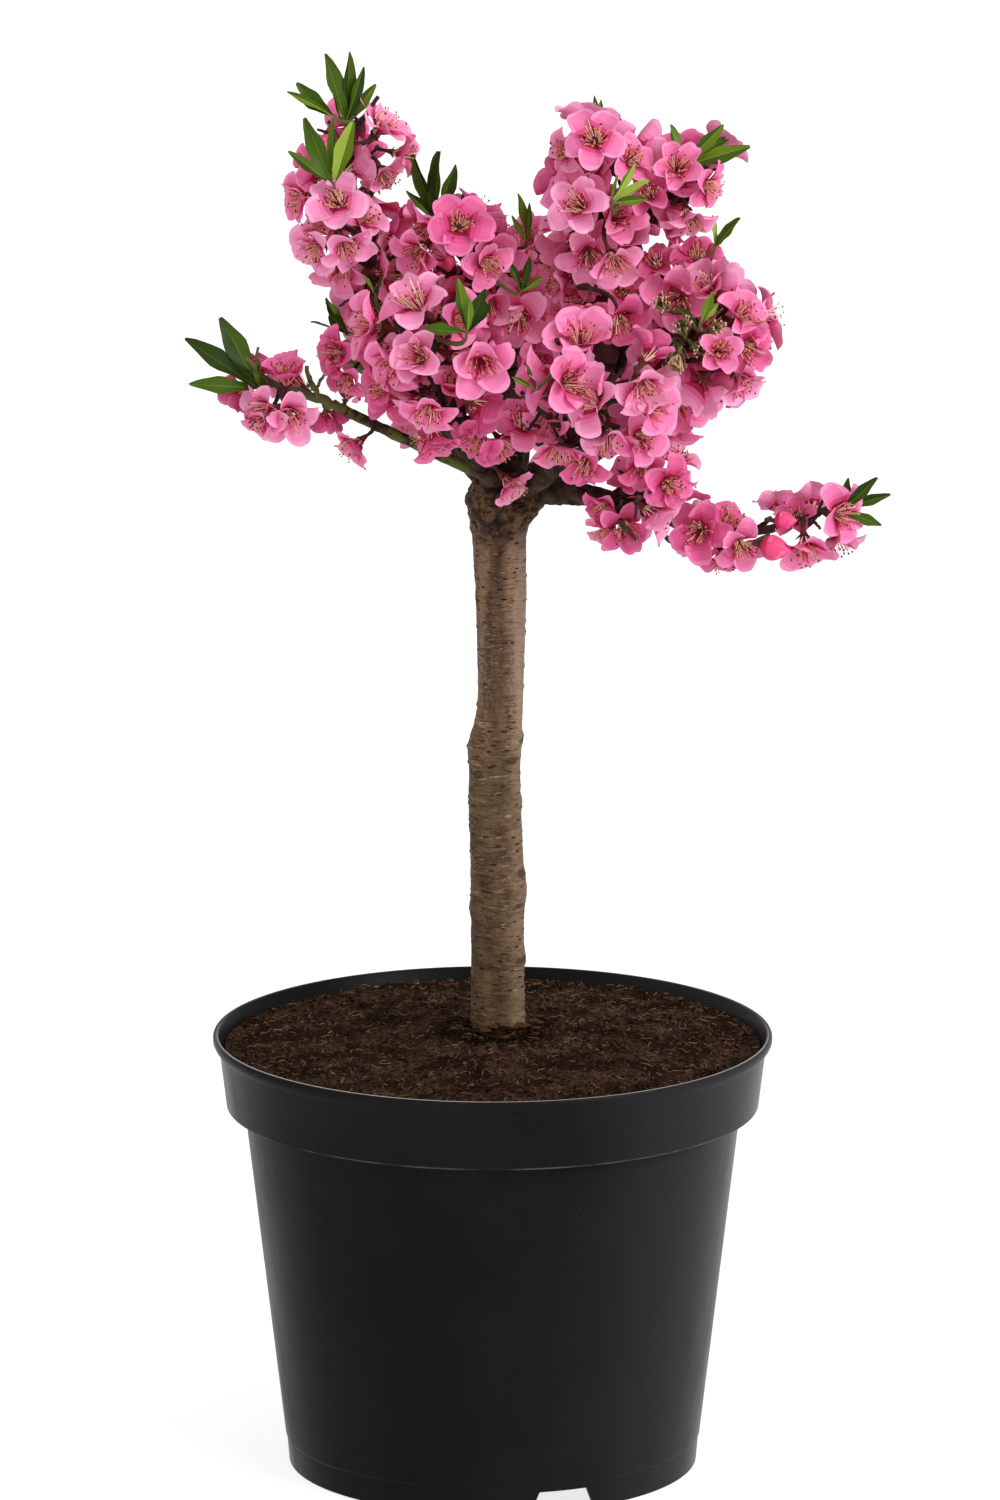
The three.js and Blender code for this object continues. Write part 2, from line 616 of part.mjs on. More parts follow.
const tree = new THREE.Group();
tree.add(piece("pot", potSolid(), material("#1f1f20", 0.55)));
tree.add(piece("soil", soilSolid(), material("#33241b", 0.95)));
tree.add(piece("trunk", trunkSolid(), bark));
for (const [name, solid] of boughSolids()) tree.add(piece(`bough_${name}`, solid, limbBark));
for (const arm of ARMS) tree.add(piece(`blossom_${arm.name}`, massSolid(arm), pink));

export default tree;
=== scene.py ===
import math

import bpy
import numpy as np
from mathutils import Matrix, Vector


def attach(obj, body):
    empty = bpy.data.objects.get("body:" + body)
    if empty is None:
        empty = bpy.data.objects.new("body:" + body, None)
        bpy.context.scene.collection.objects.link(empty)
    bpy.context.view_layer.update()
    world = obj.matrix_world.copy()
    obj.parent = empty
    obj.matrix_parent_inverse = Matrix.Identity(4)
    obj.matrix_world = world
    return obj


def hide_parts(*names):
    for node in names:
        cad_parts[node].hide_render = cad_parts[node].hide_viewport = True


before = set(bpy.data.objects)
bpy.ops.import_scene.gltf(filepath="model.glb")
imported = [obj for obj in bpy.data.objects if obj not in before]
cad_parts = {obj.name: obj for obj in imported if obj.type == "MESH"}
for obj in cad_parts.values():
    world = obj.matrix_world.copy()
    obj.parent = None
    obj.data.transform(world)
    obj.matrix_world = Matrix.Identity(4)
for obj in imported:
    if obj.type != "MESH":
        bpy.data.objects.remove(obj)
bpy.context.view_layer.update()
MM = 0.001  # sizes are in mm here, and in metres wherever Blender takes them

# ---------------------------------------------------------------------------------- pot
# A round ten litre nursery pot, moulded in one thin wall of black plastic: a lip, a deep skirt under
# it, a tapering body, and a foot ring notched for the water round a disc that stands on the ground.
POT_PROFILE = [  # radius and height in mm, from the underside out, up the wall and back down inside
    (55, 0), (55, 11.5), (100.1, 11.5), (100.1, 0), (102.6, 0), (103.75, 13.4), (104.35, 14.2),
    (124.4, 184), (133.2, 184.2), (136.7, 212.9), (137.6, 214.2), (139.1, 215.2), (139.9, 217.0),
    (139.95, 218.8), (139.4, 220), (137.5, 220), (134.3, 213.5), (130.7, 186.6), (121.9, 183.8),
    (101.0, 14.2), (52.5, 14.2), (52.5, 2.5),
]
POT_SIDES = 144
EDGE_ROUND = 0.7 * MM
FOOT_RING = 101.5 * MM
NOTCHES = 3
NOTCH_FIRST = math.radians(-70)
NOTCH_TOP = 25 * MM
NOTCH_BOTTOM = 35 * MM
NOTCH_HEIGHT = 10.7 * MM
NOTCH_DEPTH = 18 * MM
NOTCH_START = -2 * MM
DRAINS = 4
DRAIN_CIRCLE = 77 * MM
DRAIN_RADIUS = 6 * MM
DRAIN_LENGTH = 8 * MM
DRAIN_MIDDLE = 12.8 * MM


def turned(name, profile, sides):
    """A shell drawn up and out ring by ring from a disc, along radii and heights in mm. A third number
    sets a ring's centre that far to the right."""
    bpy.ops.object.select_all(action="DESELECT")
    radius, height, right = (*profile[0], 0)[:3]
    bpy.ops.mesh.primitive_circle_add(
        vertices=sides, radius=radius * MM, fill_type="NGON", location=(right * MM, 0, height * MM)
    )
    piece = bpy.context.object
    piece.name = name
    bpy.ops.object.mode_set(mode="EDIT")
    bpy.ops.mesh.select_all(action="SELECT")
    for ring in profile[1:]:
        next_radius, next_height, next_right = (*ring, 0)[:3]
        step = ((next_right - right) * MM, 0, (next_height - height) * MM)
        bpy.ops.mesh.extrude_region_move(TRANSFORM_OT_translate={"value": step})
        wider = next_radius / radius
        centre = (next_right * MM, 0, next_height * MM)
        bpy.ops.transform.resize(value=(wider, wider, 1), center_override=centre)
        radius, height, right = next_radius, next_height, next_right
    bpy.ops.mesh.select_all(action="SELECT")
    bpy.ops.mesh.normals_make_consistent(inside=False)
    bpy.ops.object.mode_set(mode="OBJECT")
    settle(piece)
    return piece


def settle(piece):
    """Leaves the object at the origin, with its place in its mesh."""
    bpy.ops.object.select_all(action="DESELECT")
    piece.select_set(True)
    bpy.context.view_layer.objects.active = piece
    bpy.ops.object.transform_apply(location=True, rotation=True, scale=True)


def finished(piece, kind, **settings):
    """Adds a modifier and applies it."""
    bpy.context.view_layer.objects.active = piece
    modifier = piece.modifiers.new(kind.lower(), kind)
    for key, value in settings.items():
        setattr(modifier, key, value)
    bpy.ops.object.modifier_apply(modifier=modifier.name)


def smoothed(piece, degrees):
    """Smooth shading, with edges sharper than that angle kept."""
    bpy.ops.object.select_all(action="DESELECT")
    piece.select_set(True)
    bpy.context.view_layer.objects.active = piece
    bpy.ops.object.shade_smooth_by_angle(angle=math.radians(degrees))


class Term:
    """A socket of a finish that can be summed: an expression on terms adds Math nodes."""

    def __init__(self, finish, socket):
        self.finish = finish
        self.socket = socket

    def math(self, operation, *values):
        return self.finish.node("ShaderNodeMath", {"operation": operation}, *values)

    def __add__(self, other):
        return self.math("ADD", self, other)

    def __radd__(self, other):
        return self.math("ADD", other, self)

    def __sub__(self, other):
        return self.math("SUBTRACT", self, other)

    def __rsub__(self, other):
        return self.math("SUBTRACT", other, self)

    def __mul__(self, other):
        return self.math("MULTIPLY", self, other)

    def __rmul__(self, other):
        return self.math("MULTIPLY", other, self)

    def between(self, low, high):
        """0 at low, 1 at high, smooth between."""
        settings = {"interpolation_type": "SMOOTHSTEP"}
        return self.finish.node("ShaderNodeMapRange", settings, self, low, high, 0, 1)


class Finish:
    """A material made of nodes, on Object coordinates in metres."""

    def __init__(self, name, color, roughness, **constants):
        self.material = bpy.data.materials.new(name)
        self.material.use_nodes = True
        self.tree = self.material.node_tree
        self.shader = self.tree.nodes["Principled BSDF"]
        self.set("Base Color", (*color, 1))
        self.set("Roughness", roughness)
        for key, value in constants.items():
            self.set(key.replace("_", " "), value)

    def set(self, socket, value):
        target = self.shader.inputs[socket]
        if isinstance(value, Term):
            self.tree.links.new(value.socket, target)
        else:
            target.default_value = value

    def node(self, kind, settings, *inputs, output=0):
        """A node with its settings set first, then its sockets given values or links in their order."""
        node = self.tree.nodes.new(kind)
        for key, value in settings.items():
            setattr(node, key, value)
        sockets = [socket for socket in node.inputs if socket.enabled]
        for socket, value in zip(sockets, inputs):
            if isinstance(value, Term):
                self.tree.links.new(value.socket, socket)
            elif value is not None:
                socket.default_value = value
        outputs = [socket for socket in node.outputs if socket.enabled]
        return Term(self, outputs[output])

    def place(self, scale=(1, 1, 1)):
        """Object coordinates, stretched by scale."""
        here = self.node("ShaderNodeTexCoord", {}, output=3)
        return self.node("ShaderNodeMapping", {}, here, None, None, scale)

    def noise(self, size, detail=4, roughness=0.55, stretch=(1, 1, 1)):
        """Cloudy noise with lumps about size metres across, 0 to 1."""
        scale = tuple(axis / size for axis in stretch)
        return self.node("ShaderNodeTexNoise", {}, self.place(scale), 1.0, float(detail), roughness)

    def spots(self, size, stretch=(1, 1, 1)):
        """Distance from the nearest of many scattered points, 0 at a point."""
        scale = tuple(axis / size for axis in stretch)
        return self.node("ShaderNodeTexVoronoi", {}, self.place(scale), 1.0)

    def height(self):
        """Height above the ground."""
        return self.node("ShaderNodeSeparateXYZ", {}, self.place(), output=2)

    def across(self):
        """Distance to the right of the pot's upright axis."""
        return self.node("ShaderNodeSeparateXYZ", {}, self.place())

    def from_axis(self):
        """Distance from the pot's upright axis."""
        return self.node("ShaderNodeVectorMath", {"operation": "LENGTH"}, self.place((1, 1, 0)))

    def mix(self, share, first, second):
        """First colour at share 0, second at share 1."""
        first, second = [c if isinstance(c, Term) else (*c, 1) for c in (first, second)]
        return self.node("ShaderNodeMix", {"data_type": "RGBA"}, share, first, second)

    def bump(self, height, distance):
        """Relief of that height field, distance metres at most."""
        self.set("Normal", self.node("ShaderNodeBump", {}, 1.0, distance, None, height))


def dress(piece, *finishes):
    for finish in finishes:
        piece.data.materials.append(finish.material)


def notch_cutter(angle):
    """A block across the foot ring, narrower at its top."""
    bpy.ops.object.select_all(action="DESELECT")
    middle = (FOOT_RING * math.cos(angle), FOOT_RING * math.sin(angle), (NOTCH_HEIGHT + NOTCH_START) / 2)
    bpy.ops.mesh.primitive_cube_add(size=1, location=middle, rotation=(0, 0, angle))
    cutter = bpy.context.object
    cutter.scale = (NOTCH_DEPTH, NOTCH_BOTTOM, NOTCH_HEIGHT - NOTCH_START)
    settle(cutter)
    across = Vector((-math.sin(angle), math.cos(angle), 0))
    for vertex in cutter.data.vertices:
        if vertex.co.z > NOTCH_HEIGHT / 2:
            vertex.co -= across * vertex.co.dot(across) * (1 - NOTCH_TOP / NOTCH_BOTTOM)
    return cutter


def drain_cutter(angle):
    bpy.ops.object.select_all(action="DESELECT")
    middle = (DRAIN_CIRCLE * math.cos(angle), DRAIN_CIRCLE * math.sin(angle), DRAIN_MIDDLE)
    bpy.ops.mesh.primitive_cylinder_add(
        vertices=24, radius=DRAIN_RADIUS, depth=DRAIN_LENGTH, location=middle
    )
    settle(bpy.context.object)
    return bpy.context.object


pot = turned("pot_shell", POT_PROFILE, POT_SIDES)
cutters = [notch_cutter(NOTCH_FIRST + turn * 2 * math.pi / NOTCHES) for turn in range(NOTCHES)]
cutters += [drain_cutter((turn + 0.5) * 2 * math.pi / DRAINS) for turn in range(DRAINS)]
for cutter in cutters:
    finished(pot, "BOOLEAN", operation="DIFFERENCE", object=cutter, solver="EXACT")
    bpy.data.objects.remove(cutter)
finished(pot, "BEVEL", width=EDGE_ROUND, segments=3, limit_method="ANGLE", angle_limit=math.radians(28))
smoothed(pot, 40)

plastic = Finish("pot_plastic", (0.006, 0.006, 0.006), 0.3, Specular_IOR_Level=0.03)
dust = plastic.spots(0.0021).between(0.16, 0.05) * plastic.noise(0.02, 3).between(0.52, 0.66)
scuffs = plastic.noise(0.05, 6, 0.6, (1, 1, 0.35)).between(0.42, 0.72)
film = plastic.noise(0.11, 4).between(0.35, 0.75)
shade = plastic.mix(film, (0.0058, 0.0058, 0.0057), (0.0098, 0.0098, 0.0100))
# Painted reflection: the plastic's colour grows paler towards the pot's right side, where it reflects the
# soft light.
painted_right_sheen = plastic.across().between(0.02, 0.118)
shade = plastic.mix(painted_right_sheen, shade, (0.0200, 0.0192, 0.0212))
high, away = plastic.height(), plastic.from_axis()
# Painted highlight: a pale line along the inner top edge of the lip, on its front half only, where light
# catches it, and a faint broken one along the lower edge of the skirt.
front = plastic.node("ShaderNodeSeparateXYZ", {}, plastic.place(), output=1).between(0.04, -0.06)
painted_lip_highlight = high.between(0.2191, 0.2197) * away.between(0.1387, 0.1381) * front
painted_skirt_highlight = high.between(0.1852, 0.1846) * away.between(0.1315, 0.1322)
painted_edge_highlights = painted_lip_highlight * (0.55 + 0.45 * film)
painted_edge_highlights = painted_edge_highlights + painted_skirt_highlight * 0.12 * plastic.noise(0.03, 4).between(0.35, 0.6)
shade = plastic.mix(dust * 0.5, shade, (0.07, 0.066, 0.062))
plastic.set("Base Color", plastic.mix(painted_edge_highlights, shade, (0.52, 0.49, 0.46)))
plastic.set("Roughness", 0.28 + scuffs * 0.14 + dust * 0.3 + painted_edge_highlights * 0.3)
plastic.bump(plastic.noise(0.0011, 2) + plastic.noise(0.02, 3) * 1.6, 0.0001)
dress(pot, plastic)
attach(pot, "root")
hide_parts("pot")

# ---------------------------------------------------------------------------------- compost
# Moist peat compost, filled to just under the rim and heaped a little to the stem. It is dark brown
# and crumbly, with clods of all sizes and paler dry patches.
SOIL_WALL = [(52.2, 2.8), (52.2, 14.5), (100.6, 14.6), (121.4, 184), (130.0, 187.2)]
SOIL_EDGE = 214.5
SOIL_CROWN = 221.4
SOIL_RIM = 133.9
SOIL_SEAT = 12
SOIL_RINGS = 110
SOIL_SIDES = 400
MOUND_HEIGHT = 5
MOUND_REACH = 36
HEAP_REACH = 40
CLODS = ((0.026, 0.0052), (0.009, 0.0044), (0.0036, 0.0024), (0.0017, 0.0011))  # size and lift in metres


def soil_height(away):
    """Height of the compost at that distance from the middle: it rises to a small mound at the stem."""
    share = (SOIL_RIM - away) / (SOIL_RIM - SOIL_SEAT)
    mound = MOUND_HEIGHT * max(0, 1 - away / MOUND_REACH) ** 2
    return SOIL_EDGE + (SOIL_CROWN - SOIL_EDGE) * min(1, max(0, share * 1.12)) ** 0.8 + mound


soil_top = [(away, soil_height(away)) for away in np.linspace(SOIL_RIM, SOIL_SEAT, SOIL_RINGS)]
compost = turned("compost", SOIL_WALL + soil_top, SOIL_SIDES)
top_only = compost.vertex_groups.new(name="top")
heap_only = compost.vertex_groups.new(name="heap")
for vertex in compost.data.vertices:
    away = math.hypot(vertex.co.x, vertex.co.y) / MM
    if vertex.co.z > SOIL_EDGE * MM - 1e-6:
        top_only.add([vertex.index], min(1, max(0.15, (SOIL_RIM - away) / 5)), "REPLACE")
        if away < HEAP_REACH:
            heap_only.add([vertex.index], min(1, (HEAP_REACH - away) / 16), "REPLACE")
for size, lift in CLODS:
    clods = bpy.data.textures.new("clods", "CLOUDS")
    clods.noise_scale = size
    clods.noise_depth = 2
    finished(
        compost, "DISPLACE", texture=clods, strength=lift, mid_level=0.62, direction="Z",
        texture_coords="LOCAL", vertex_group="top",
    )
lumps = bpy.data.textures.new("lumps", "CLOUDS")
lumps.noise_scale = 0.011
finished(
    compost, "DISPLACE", texture=lumps, strength=0.0075, mid_level=0.5, direction="Z",
    texture_coords="LOCAL", vertex_group="heap",
)
smoothed(compost, 50)

peat = Finish("compost", (0.03, 0.017, 0.011), 0.95, Specular_IOR_Level=0.03)
grain = peat.noise(0.0019, 5, 0.75)
patch = peat.noise(0.022, 4, 0.6)
moist = peat.mix(grain.between(0.34, 0.66), (0.0028, 0.0014, 0.0008), (0.036, 0.0180, 0.0092))
dry = peat.mix(grain.between(0.36, 0.66), (0.0085, 0.0040, 0.0021), (0.104, 0.056, 0.034))
tone = peat.mix(patch.between(0.40, 0.62), moist, dry)
straw = peat.noise(0.0042, 3, 0.7, (0.5, 2.4, 1)).between(0.63, 0.70) * patch.between(0.42, 0.6)
peat.set("Base Color", peat.mix(straw * 0.8, tone, (0.17, 0.105, 0.06)))
peat.bump(grain + peat.spots(0.004) * 0.8, 0.0022)
dress(compost, peat)
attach(compost, "root")
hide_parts("soil")

# ---------------------------------------------------------------------------------- compost crumbs
# Loose crumbs of peat and bark, small angular lumps that lie thickest round the stem, and pale fibres
# of moss and root that lie bent on top.
CRUMBS = 2600
HEAPED_CRUMBS = 420
FIBRES = 1100
CRUMB_SHADES = (0.55, 0.33, 0.03, 0.09)
STEM_ASIDE = 2.8
CRUMB_POINTS = np.array(
    [(0, 0, 1), (0.9, 0, 0.3), (0.3, 0.9, 0.35), (-0.75, 0.5, 0.3), (-0.7, -0.6, 0.35),
     (0.35, -0.85, 0.3), (0.1, 0.05, -0.8)]
)
CRUMB_FACES = [(0, k + 1, (k + 1) % 5 + 1) for k in range(5)]
CRUMB_FACES += [(6, (k + 1) % 5 + 1, k + 1) for k in range(5)]
FIBRE_BENDS = 4
FIBRE_FACES = [
    (3 * k + a, 3 * k + b, 3 * k + 3 + b, 3 * k + 3 + a)
    for k in range(FIBRE_BENDS - 1)
    for a, b in ((1, 0), (2, 1), (0, 2))
]
FIBRE_FACES += [(0, 1, 2), (11, 10, 9)]
lay = np.random.default_rng(17)


def joined(name, parts):
    """One mesh from many (points in mm, faces, finish numbers)."""
    points, faces, numbers, first = [], [], [], 0
    for part_points, part_faces, part_numbers in parts:
        points.append(np.asarray(part_points, float))
        faces.extend([first + corner for corner in face] for face in part_faces)
        if np.ndim(part_numbers) == 0:
            numbers.extend([int(part_numbers)] * len(part_faces))
        else:
            numbers.extend(int(number) for number in part_numbers)
        first += len(part_points)
    mesh = bpy.data.meshes.new(name)
    mesh.from_pydata(np.concatenate(points) * MM, [], faces)
    mesh.polygons.foreach_set("material_index", numbers)
    mesh.update()
    piece = bpy.data.objects.new(name, mesh)
    bpy.context.scene.collection.objects.link(piece)
    return piece


def crumb(at_stem):
    """One lump. Those at the stem are larger and nearly all dark."""
    away = 15 + 117 * math.sqrt(lay.random())
    size = 0.40 + 1.3 * lay.random() ** 4
    if at_stem:
        away = 12.5 + 14 * lay.random() ** 1.6
        size = 0.8 + 2.4 * lay.random() ** 2
    turn = lay.random() * 2 * math.pi
    bent = CRUMB_POINTS * (0.45 + 1.0 * lay.random((7, 3))) * (0.7 + 0.9 * lay.random(), 1, 0.7) * size
    shade = int(lay.choice(4, p=CRUMB_SHADES))
    lift = soil_height(away) + 0.3 * size + (1.8 if at_stem else 0.9) * lay.random()
    middle = (away * math.cos(turn) + (STEM_ASIDE if at_stem else 0), away * math.sin(turn), lift)
    return bent + middle, CRUMB_FACES, 0 if at_stem and shade > 1 else shade


def fibre():
    """A strip of three sides that wanders over the compost, as its points."""
    away = 16 + 112 * math.sqrt(lay.random())
    turn = lay.random() * 2 * math.pi
    place = np.array((away * math.cos(turn), away * math.sin(turn), 0.0))
    heading = lay.random() * 2 * math.pi
    length = 2 + 7 * lay.random() ** 2
    thick = 0.12 + 0.14 * lay.random()
    points = []
    for _ in range(FIBRE_BENDS):
        heading += 0.9 * (lay.random() - 0.5)
        place = place + np.array((math.cos(heading), math.sin(heading), 0.0)) * length / FIBRE_BENDS
        side = np.array((-math.sin(heading), math.cos(heading), 0.0)) * thick
        up = np.array((0, 0, soil_height(math.hypot(place[0], place[1])) + 0.6 + 1.5 * lay.random()))
        points.extend([place + side + up, place - side + up, place + up * (1 + 0.006 * thick)])
    return np.array(points)


crumbs = [crumb(k >= CRUMBS) for k in range(CRUMBS + HEAPED_CRUMBS)]
for _ in range(FIBRES):
    points = fibre()
    if np.hypot(points[:, 0], points[:, 1]).max() < SOIL_RIM - 1:
        crumbs.append((points, FIBRE_FACES, 2 if lay.random() < 0.4 else 3))
litter = joined("compost_crumbs", crumbs)
dress(
    litter,
    Finish("crumb_dark", (0.014, 0.0068, 0.0036), 0.95, Specular_IOR_Level=0.03),
    Finish("crumb_brown", (0.05, 0.025, 0.013), 0.95, Specular_IOR_Level=0.03),
    Finish("fibre_tan", (0.17, 0.098, 0.056), 0.9, Specular_IOR_Level=0.03),
    Finish("fibre_brown", (0.10, 0.048, 0.026), 0.9, Specular_IOR_Level=0.03),
)
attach(litter, "root")

# ---------------------------------------------------------------------------------- stem
# The bare stem of the stock, up to the swollen head where the crown was grafted on. Its bark is smooth
# and grey brown with dark raised cross bands, healed scars, and rough cracked bark at the head.
TRUNK_FOOT = 221.7
TRUNK_HEAD = 508
TRUNK_LINE = [  # share of the height, how far to the right in mm, radius in mm
    (0.0, 2.8, 14.2), (0.06, 2.8, 13.4), (0.3, 2.2, 13.1), (0.45, 1.0, 12.6), (0.6, 4.0, 11.3),
    (0.78, 4.2, 12.5), (0.88, 3.4, 14.0), (0.945, 4.8, 18.6), (0.985, 5.2, 15.2), (1.0, 5.4, 9.0),
]
KNOTS = [  # share of the height, the side they face in degrees, how far they swell, how tall in mm
    (0.51, 180, 2.4, 19), (0.52, 0, 1.0, 10), (0.25, -10, 1.7, 20), (0.41, 0, 0.8, 8),
    (0.13, -20, 1.3, 10), (0.66, 120, 1.2, 10), (0.22, 150, 1.0, 9), (0.93, -8, 3.4, 11),
]
TRUNK_SIDES = 48
TRUNK_RINGS = 90
TRUNK_SUNK = 5
RIPPLES = 14
CROSS_BANDS = 420
HEAD_SHARE = 0.84
SCARS = (  # height in metres, the side they face in degrees, half their width and height in mm
    (0.3705, -8, 7, 2.2), (0.3615, -50, 8, 2.6), (0.3650, 172, 4, 4), (0.3030, -22, 7, 3.4),
    (0.2870, -38, 5, 1.8), (0.2590, -28, 8, 2.6), (0.2950, -115, 5, 1.2), (0.3380, -150, 4, 1.4),
)
SCAR_AXIS = 2.4 * MM
SCAR_RADIUS = 13.2 * MM


def trunk_at(t):
    """How far the stem's centre stands to the right, and its radius, at share t of its height."""
    last = len(TRUNK_LINE) - 1
    b = min(last, max(1, next(k for k, line in enumerate(TRUNK_LINE) if line[0] >= t)))
    a, before, after = b - 1, max(0, b - 2), min(last, b + 1)
    span = TRUNK_LINE[b][0] - TRUNK_LINE[a][0]
    u = (t - TRUNK_LINE[a][0]) / span
    values = []
    for key in (1, 2):
        leave = (TRUNK_LINE[b][key] - TRUNK_LINE[before][key]) / (TRUNK_LINE[b][0] - TRUNK_LINE[before][0])
        arrive = (TRUNK_LINE[after][key] - TRUNK_LINE[a][key]) / (TRUNK_LINE[after][0] - TRUNK_LINE[a][0])
        values.append(
            TRUNK_LINE[a][key] * (2 * u**3 - 3 * u**2 + 1)
            + leave * span * (u**3 - 2 * u**2 + u)
            + TRUNK_LINE[b][key] * (3 * u**2 - 2 * u**3)
            + arrive * span * (u**3 - u**2)
        )
    return values


def knot_swell(height, turn):
    """How far the knots swell the bark there, in mm."""
    swell = np.zeros(len(height))
    for at, side, out, tall in KNOTS:
        up = (height - (TRUNK_FOOT + at * (TRUNK_HEAD - TRUNK_FOOT))) / (tall / 2)
        aside = turn - math.radians(side)
        aside = np.arctan2(np.sin(aside), np.cos(aside)) / 0.8
        swell = swell + out * np.exp(-(up**2) - aside**2)
    return swell


def grid_faces(rows, columns):
    """Quads of a closed tube of rows by columns, and its two ends."""
    faces = []
    for row in range(rows - 1):
        for column in range(columns):
            after = (column + 1) % columns
            faces.append((row * columns + column, row * columns + after,
                          (row + 1) * columns + after, (row + 1) * columns + column))
    faces.append(tuple(range(columns))[::-1])
    faces.append(tuple((rows - 1) * columns + column for column in range(columns)))
    return faces


stations = [(TRUNK_LINE[0][2], TRUNK_FOOT - TRUNK_SUNK, TRUNK_LINE[0][1])]  # runs on into the compost
for share in np.linspace(0, 1, TRUNK_RINGS):
    right, radius = trunk_at(float(share))
    stations.append((radius, TRUNK_FOOT + share * (TRUNK_HEAD - TRUNK_FOOT), right))
trunk = turned("stem", stations, TRUNK_SIDES)
finished(trunk, "SUBSURF", levels=2, render_levels=2)
points = np.empty(len(trunk.data.vertices) * 3)
trunk.data.vertices.foreach_get("co", points)
points = points.reshape(-1, 3) / MM
heights = points[:, 2]
centres = np.interp(heights, [station[1] for station in stations], [station[2] for station in stations])
turns = np.arctan2(points[:, 1], points[:, 0] - centres)
shares = (heights - TRUNK_FOOT) / (TRUNK_HEAD - TRUNK_FOOT)
swell = knot_swell(heights, turns)
bark_dice = np.random.default_rng(5)
for _ in range(RIPPLES):
    count, phase, pace, start = bark_dice.integers(2, 9), *bark_dice.random(3) * (6.28, 0.05, 6.28)
    swell += 0.12 * np.sin(count * turns + phase + pace * heights) * np.sin(0.021 * heights + start)
for _ in range(CROSS_BANDS):
    level = TRUNK_FOOT + (TRUNK_HEAD - 20 - TRUNK_FOOT) * bark_dice.random()
    side, wide = bark_dice.random() * 2 * math.pi, 0.06 + 0.17 * bark_dice.random() ** 2
    tall, lift = 0.5 + 0.45 * bark_dice.random(), 0.25 + 0.4 * bark_dice.random()
    near = np.abs(heights - level) < 3 * tall
    aside = np.arctan2(np.sin(turns[near] - side), np.cos(turns[near] - side)) / wide
    swell[near] += lift * np.exp(-(((heights[near] - level) / tall) ** 2) - aside**4)
points[:, 0] += swell * np.cos(turns)
points[:, 1] += swell * np.sin(turns)
trunk.data.vertices.foreach_set("co", (points * MM).ravel())
trunk.data.update()
head_only = trunk.vertex_groups.new(name="head")
for index, share in enumerate(shares):
    if share > HEAD_SHARE:
        head_only.add([index], float(min(1, (share - HEAD_SHARE) / 0.09)), "REPLACE")
plates = bpy.data.textures.new("plates", "VORONOI")
plates.noise_scale = 0.0075
plates.weight_1, plates.weight_2 = -1, 1
finished(
    trunk, "DISPLACE", texture=plates, strength=0.0042, mid_level=0.35, texture_coords="LOCAL",
    vertex_group="head",
)
for size, lift in ((0.006, 0.0018), (0.0022, 0.0010)):
    crust = bpy.data.textures.new("crust", "CLOUDS")
    crust.noise_scale = size
    finished(
        trunk, "DISPLACE", texture=crust, strength=lift, mid_level=0.5, texture_coords="LOCAL",
        vertex_group="head",
    )
skin = bpy.data.textures.new("skin", "CLOUDS")
skin.noise_scale = 0.0035
finished(trunk, "DISPLACE", texture=skin, strength=0.0007, mid_level=0.5, texture_coords="LOCAL")
smoothed(trunk, 60)

bark = Finish("bark", (0.11, 0.075, 0.05), 0.8, Specular_IOR_Level=0.12)
streak = bark.noise(0.0085, 5, 0.62, (1, 1, 0.10))
grain = bark.noise(0.0017, 4, 0.7, (0.8, 0.8, 1.5))
sheen = bark.noise(0.0075, 4, 0.6, (0.5, 0.5, 1.6))
level = bark.height()
upper = level.between(0.345, 0.40)
smooth = bark.mix(sheen.between(0.34, 0.66), (0.055, 0.030, 0.013), (0.136, 0.081, 0.040))
lined = bark.mix(streak.between(0.36, 0.64), (0.056, 0.028, 0.013), (0.186, 0.107, 0.060))
tone = bark.mix(upper, smooth, lined)
tone = bark.mix(grain.between(0.44, 0.66) * (0.22 + upper * 0.34), tone, (0.30, 0.205, 0.14))
moss = bark.noise(0.028, 4, 0.6).between(0.47, 0.66) * (1 - upper)
tone = bark.mix(moss * 0.55, tone, (0.080, 0.056, 0.020))
# Painted light: the bark is paler on the stem's right side, where the light falls, more so higher up.
aside = bark.across() + bark.noise(0.006, 3, 0.6, (1, 1, 0.2)) * 0.004
tone = bark.mix(aside.between(0.0085, 0.0150) * (0.28 + upper * 0.3), tone, (0.34, 0.235, 0.165))
# Painted shade: an upright band down the middle of the stem is darker.
painted_shade_band = aside.between(-0.001, 0.0035) * aside.between(0.0105, 0.0065)
tone = bark.mix(painted_shade_band * (0.25 + upper * 0.3), tone, (0.036, 0.019, 0.010))
pale = bark.noise(0.0055, 4, 0.65, (0.45, 0.45, 2.0)).between(0.57, 0.67)
pale = pale * bark.noise(0.02, 2).between(0.4, 0.55)
tone = bark.mix(pale * 0.75, tone, (0.38, 0.27, 0.185))
hair = bark.noise(0.0042, 3, 0.6, (0.6, 0.6, 5.5)).between(0.56, 0.68)
tone = bark.mix(hair * 0.25, tone, (0.040, 0.022, 0.013))
dashes = bark.spots(0.0066, (0.85, 0.85, 2.7)).between(0.27, 0.15) * bark.noise(0.03, 2).between(0.40, 0.50)
tone = bark.mix(dashes * 0.95, tone, (0.020, 0.009, 0.006))
scars = 0
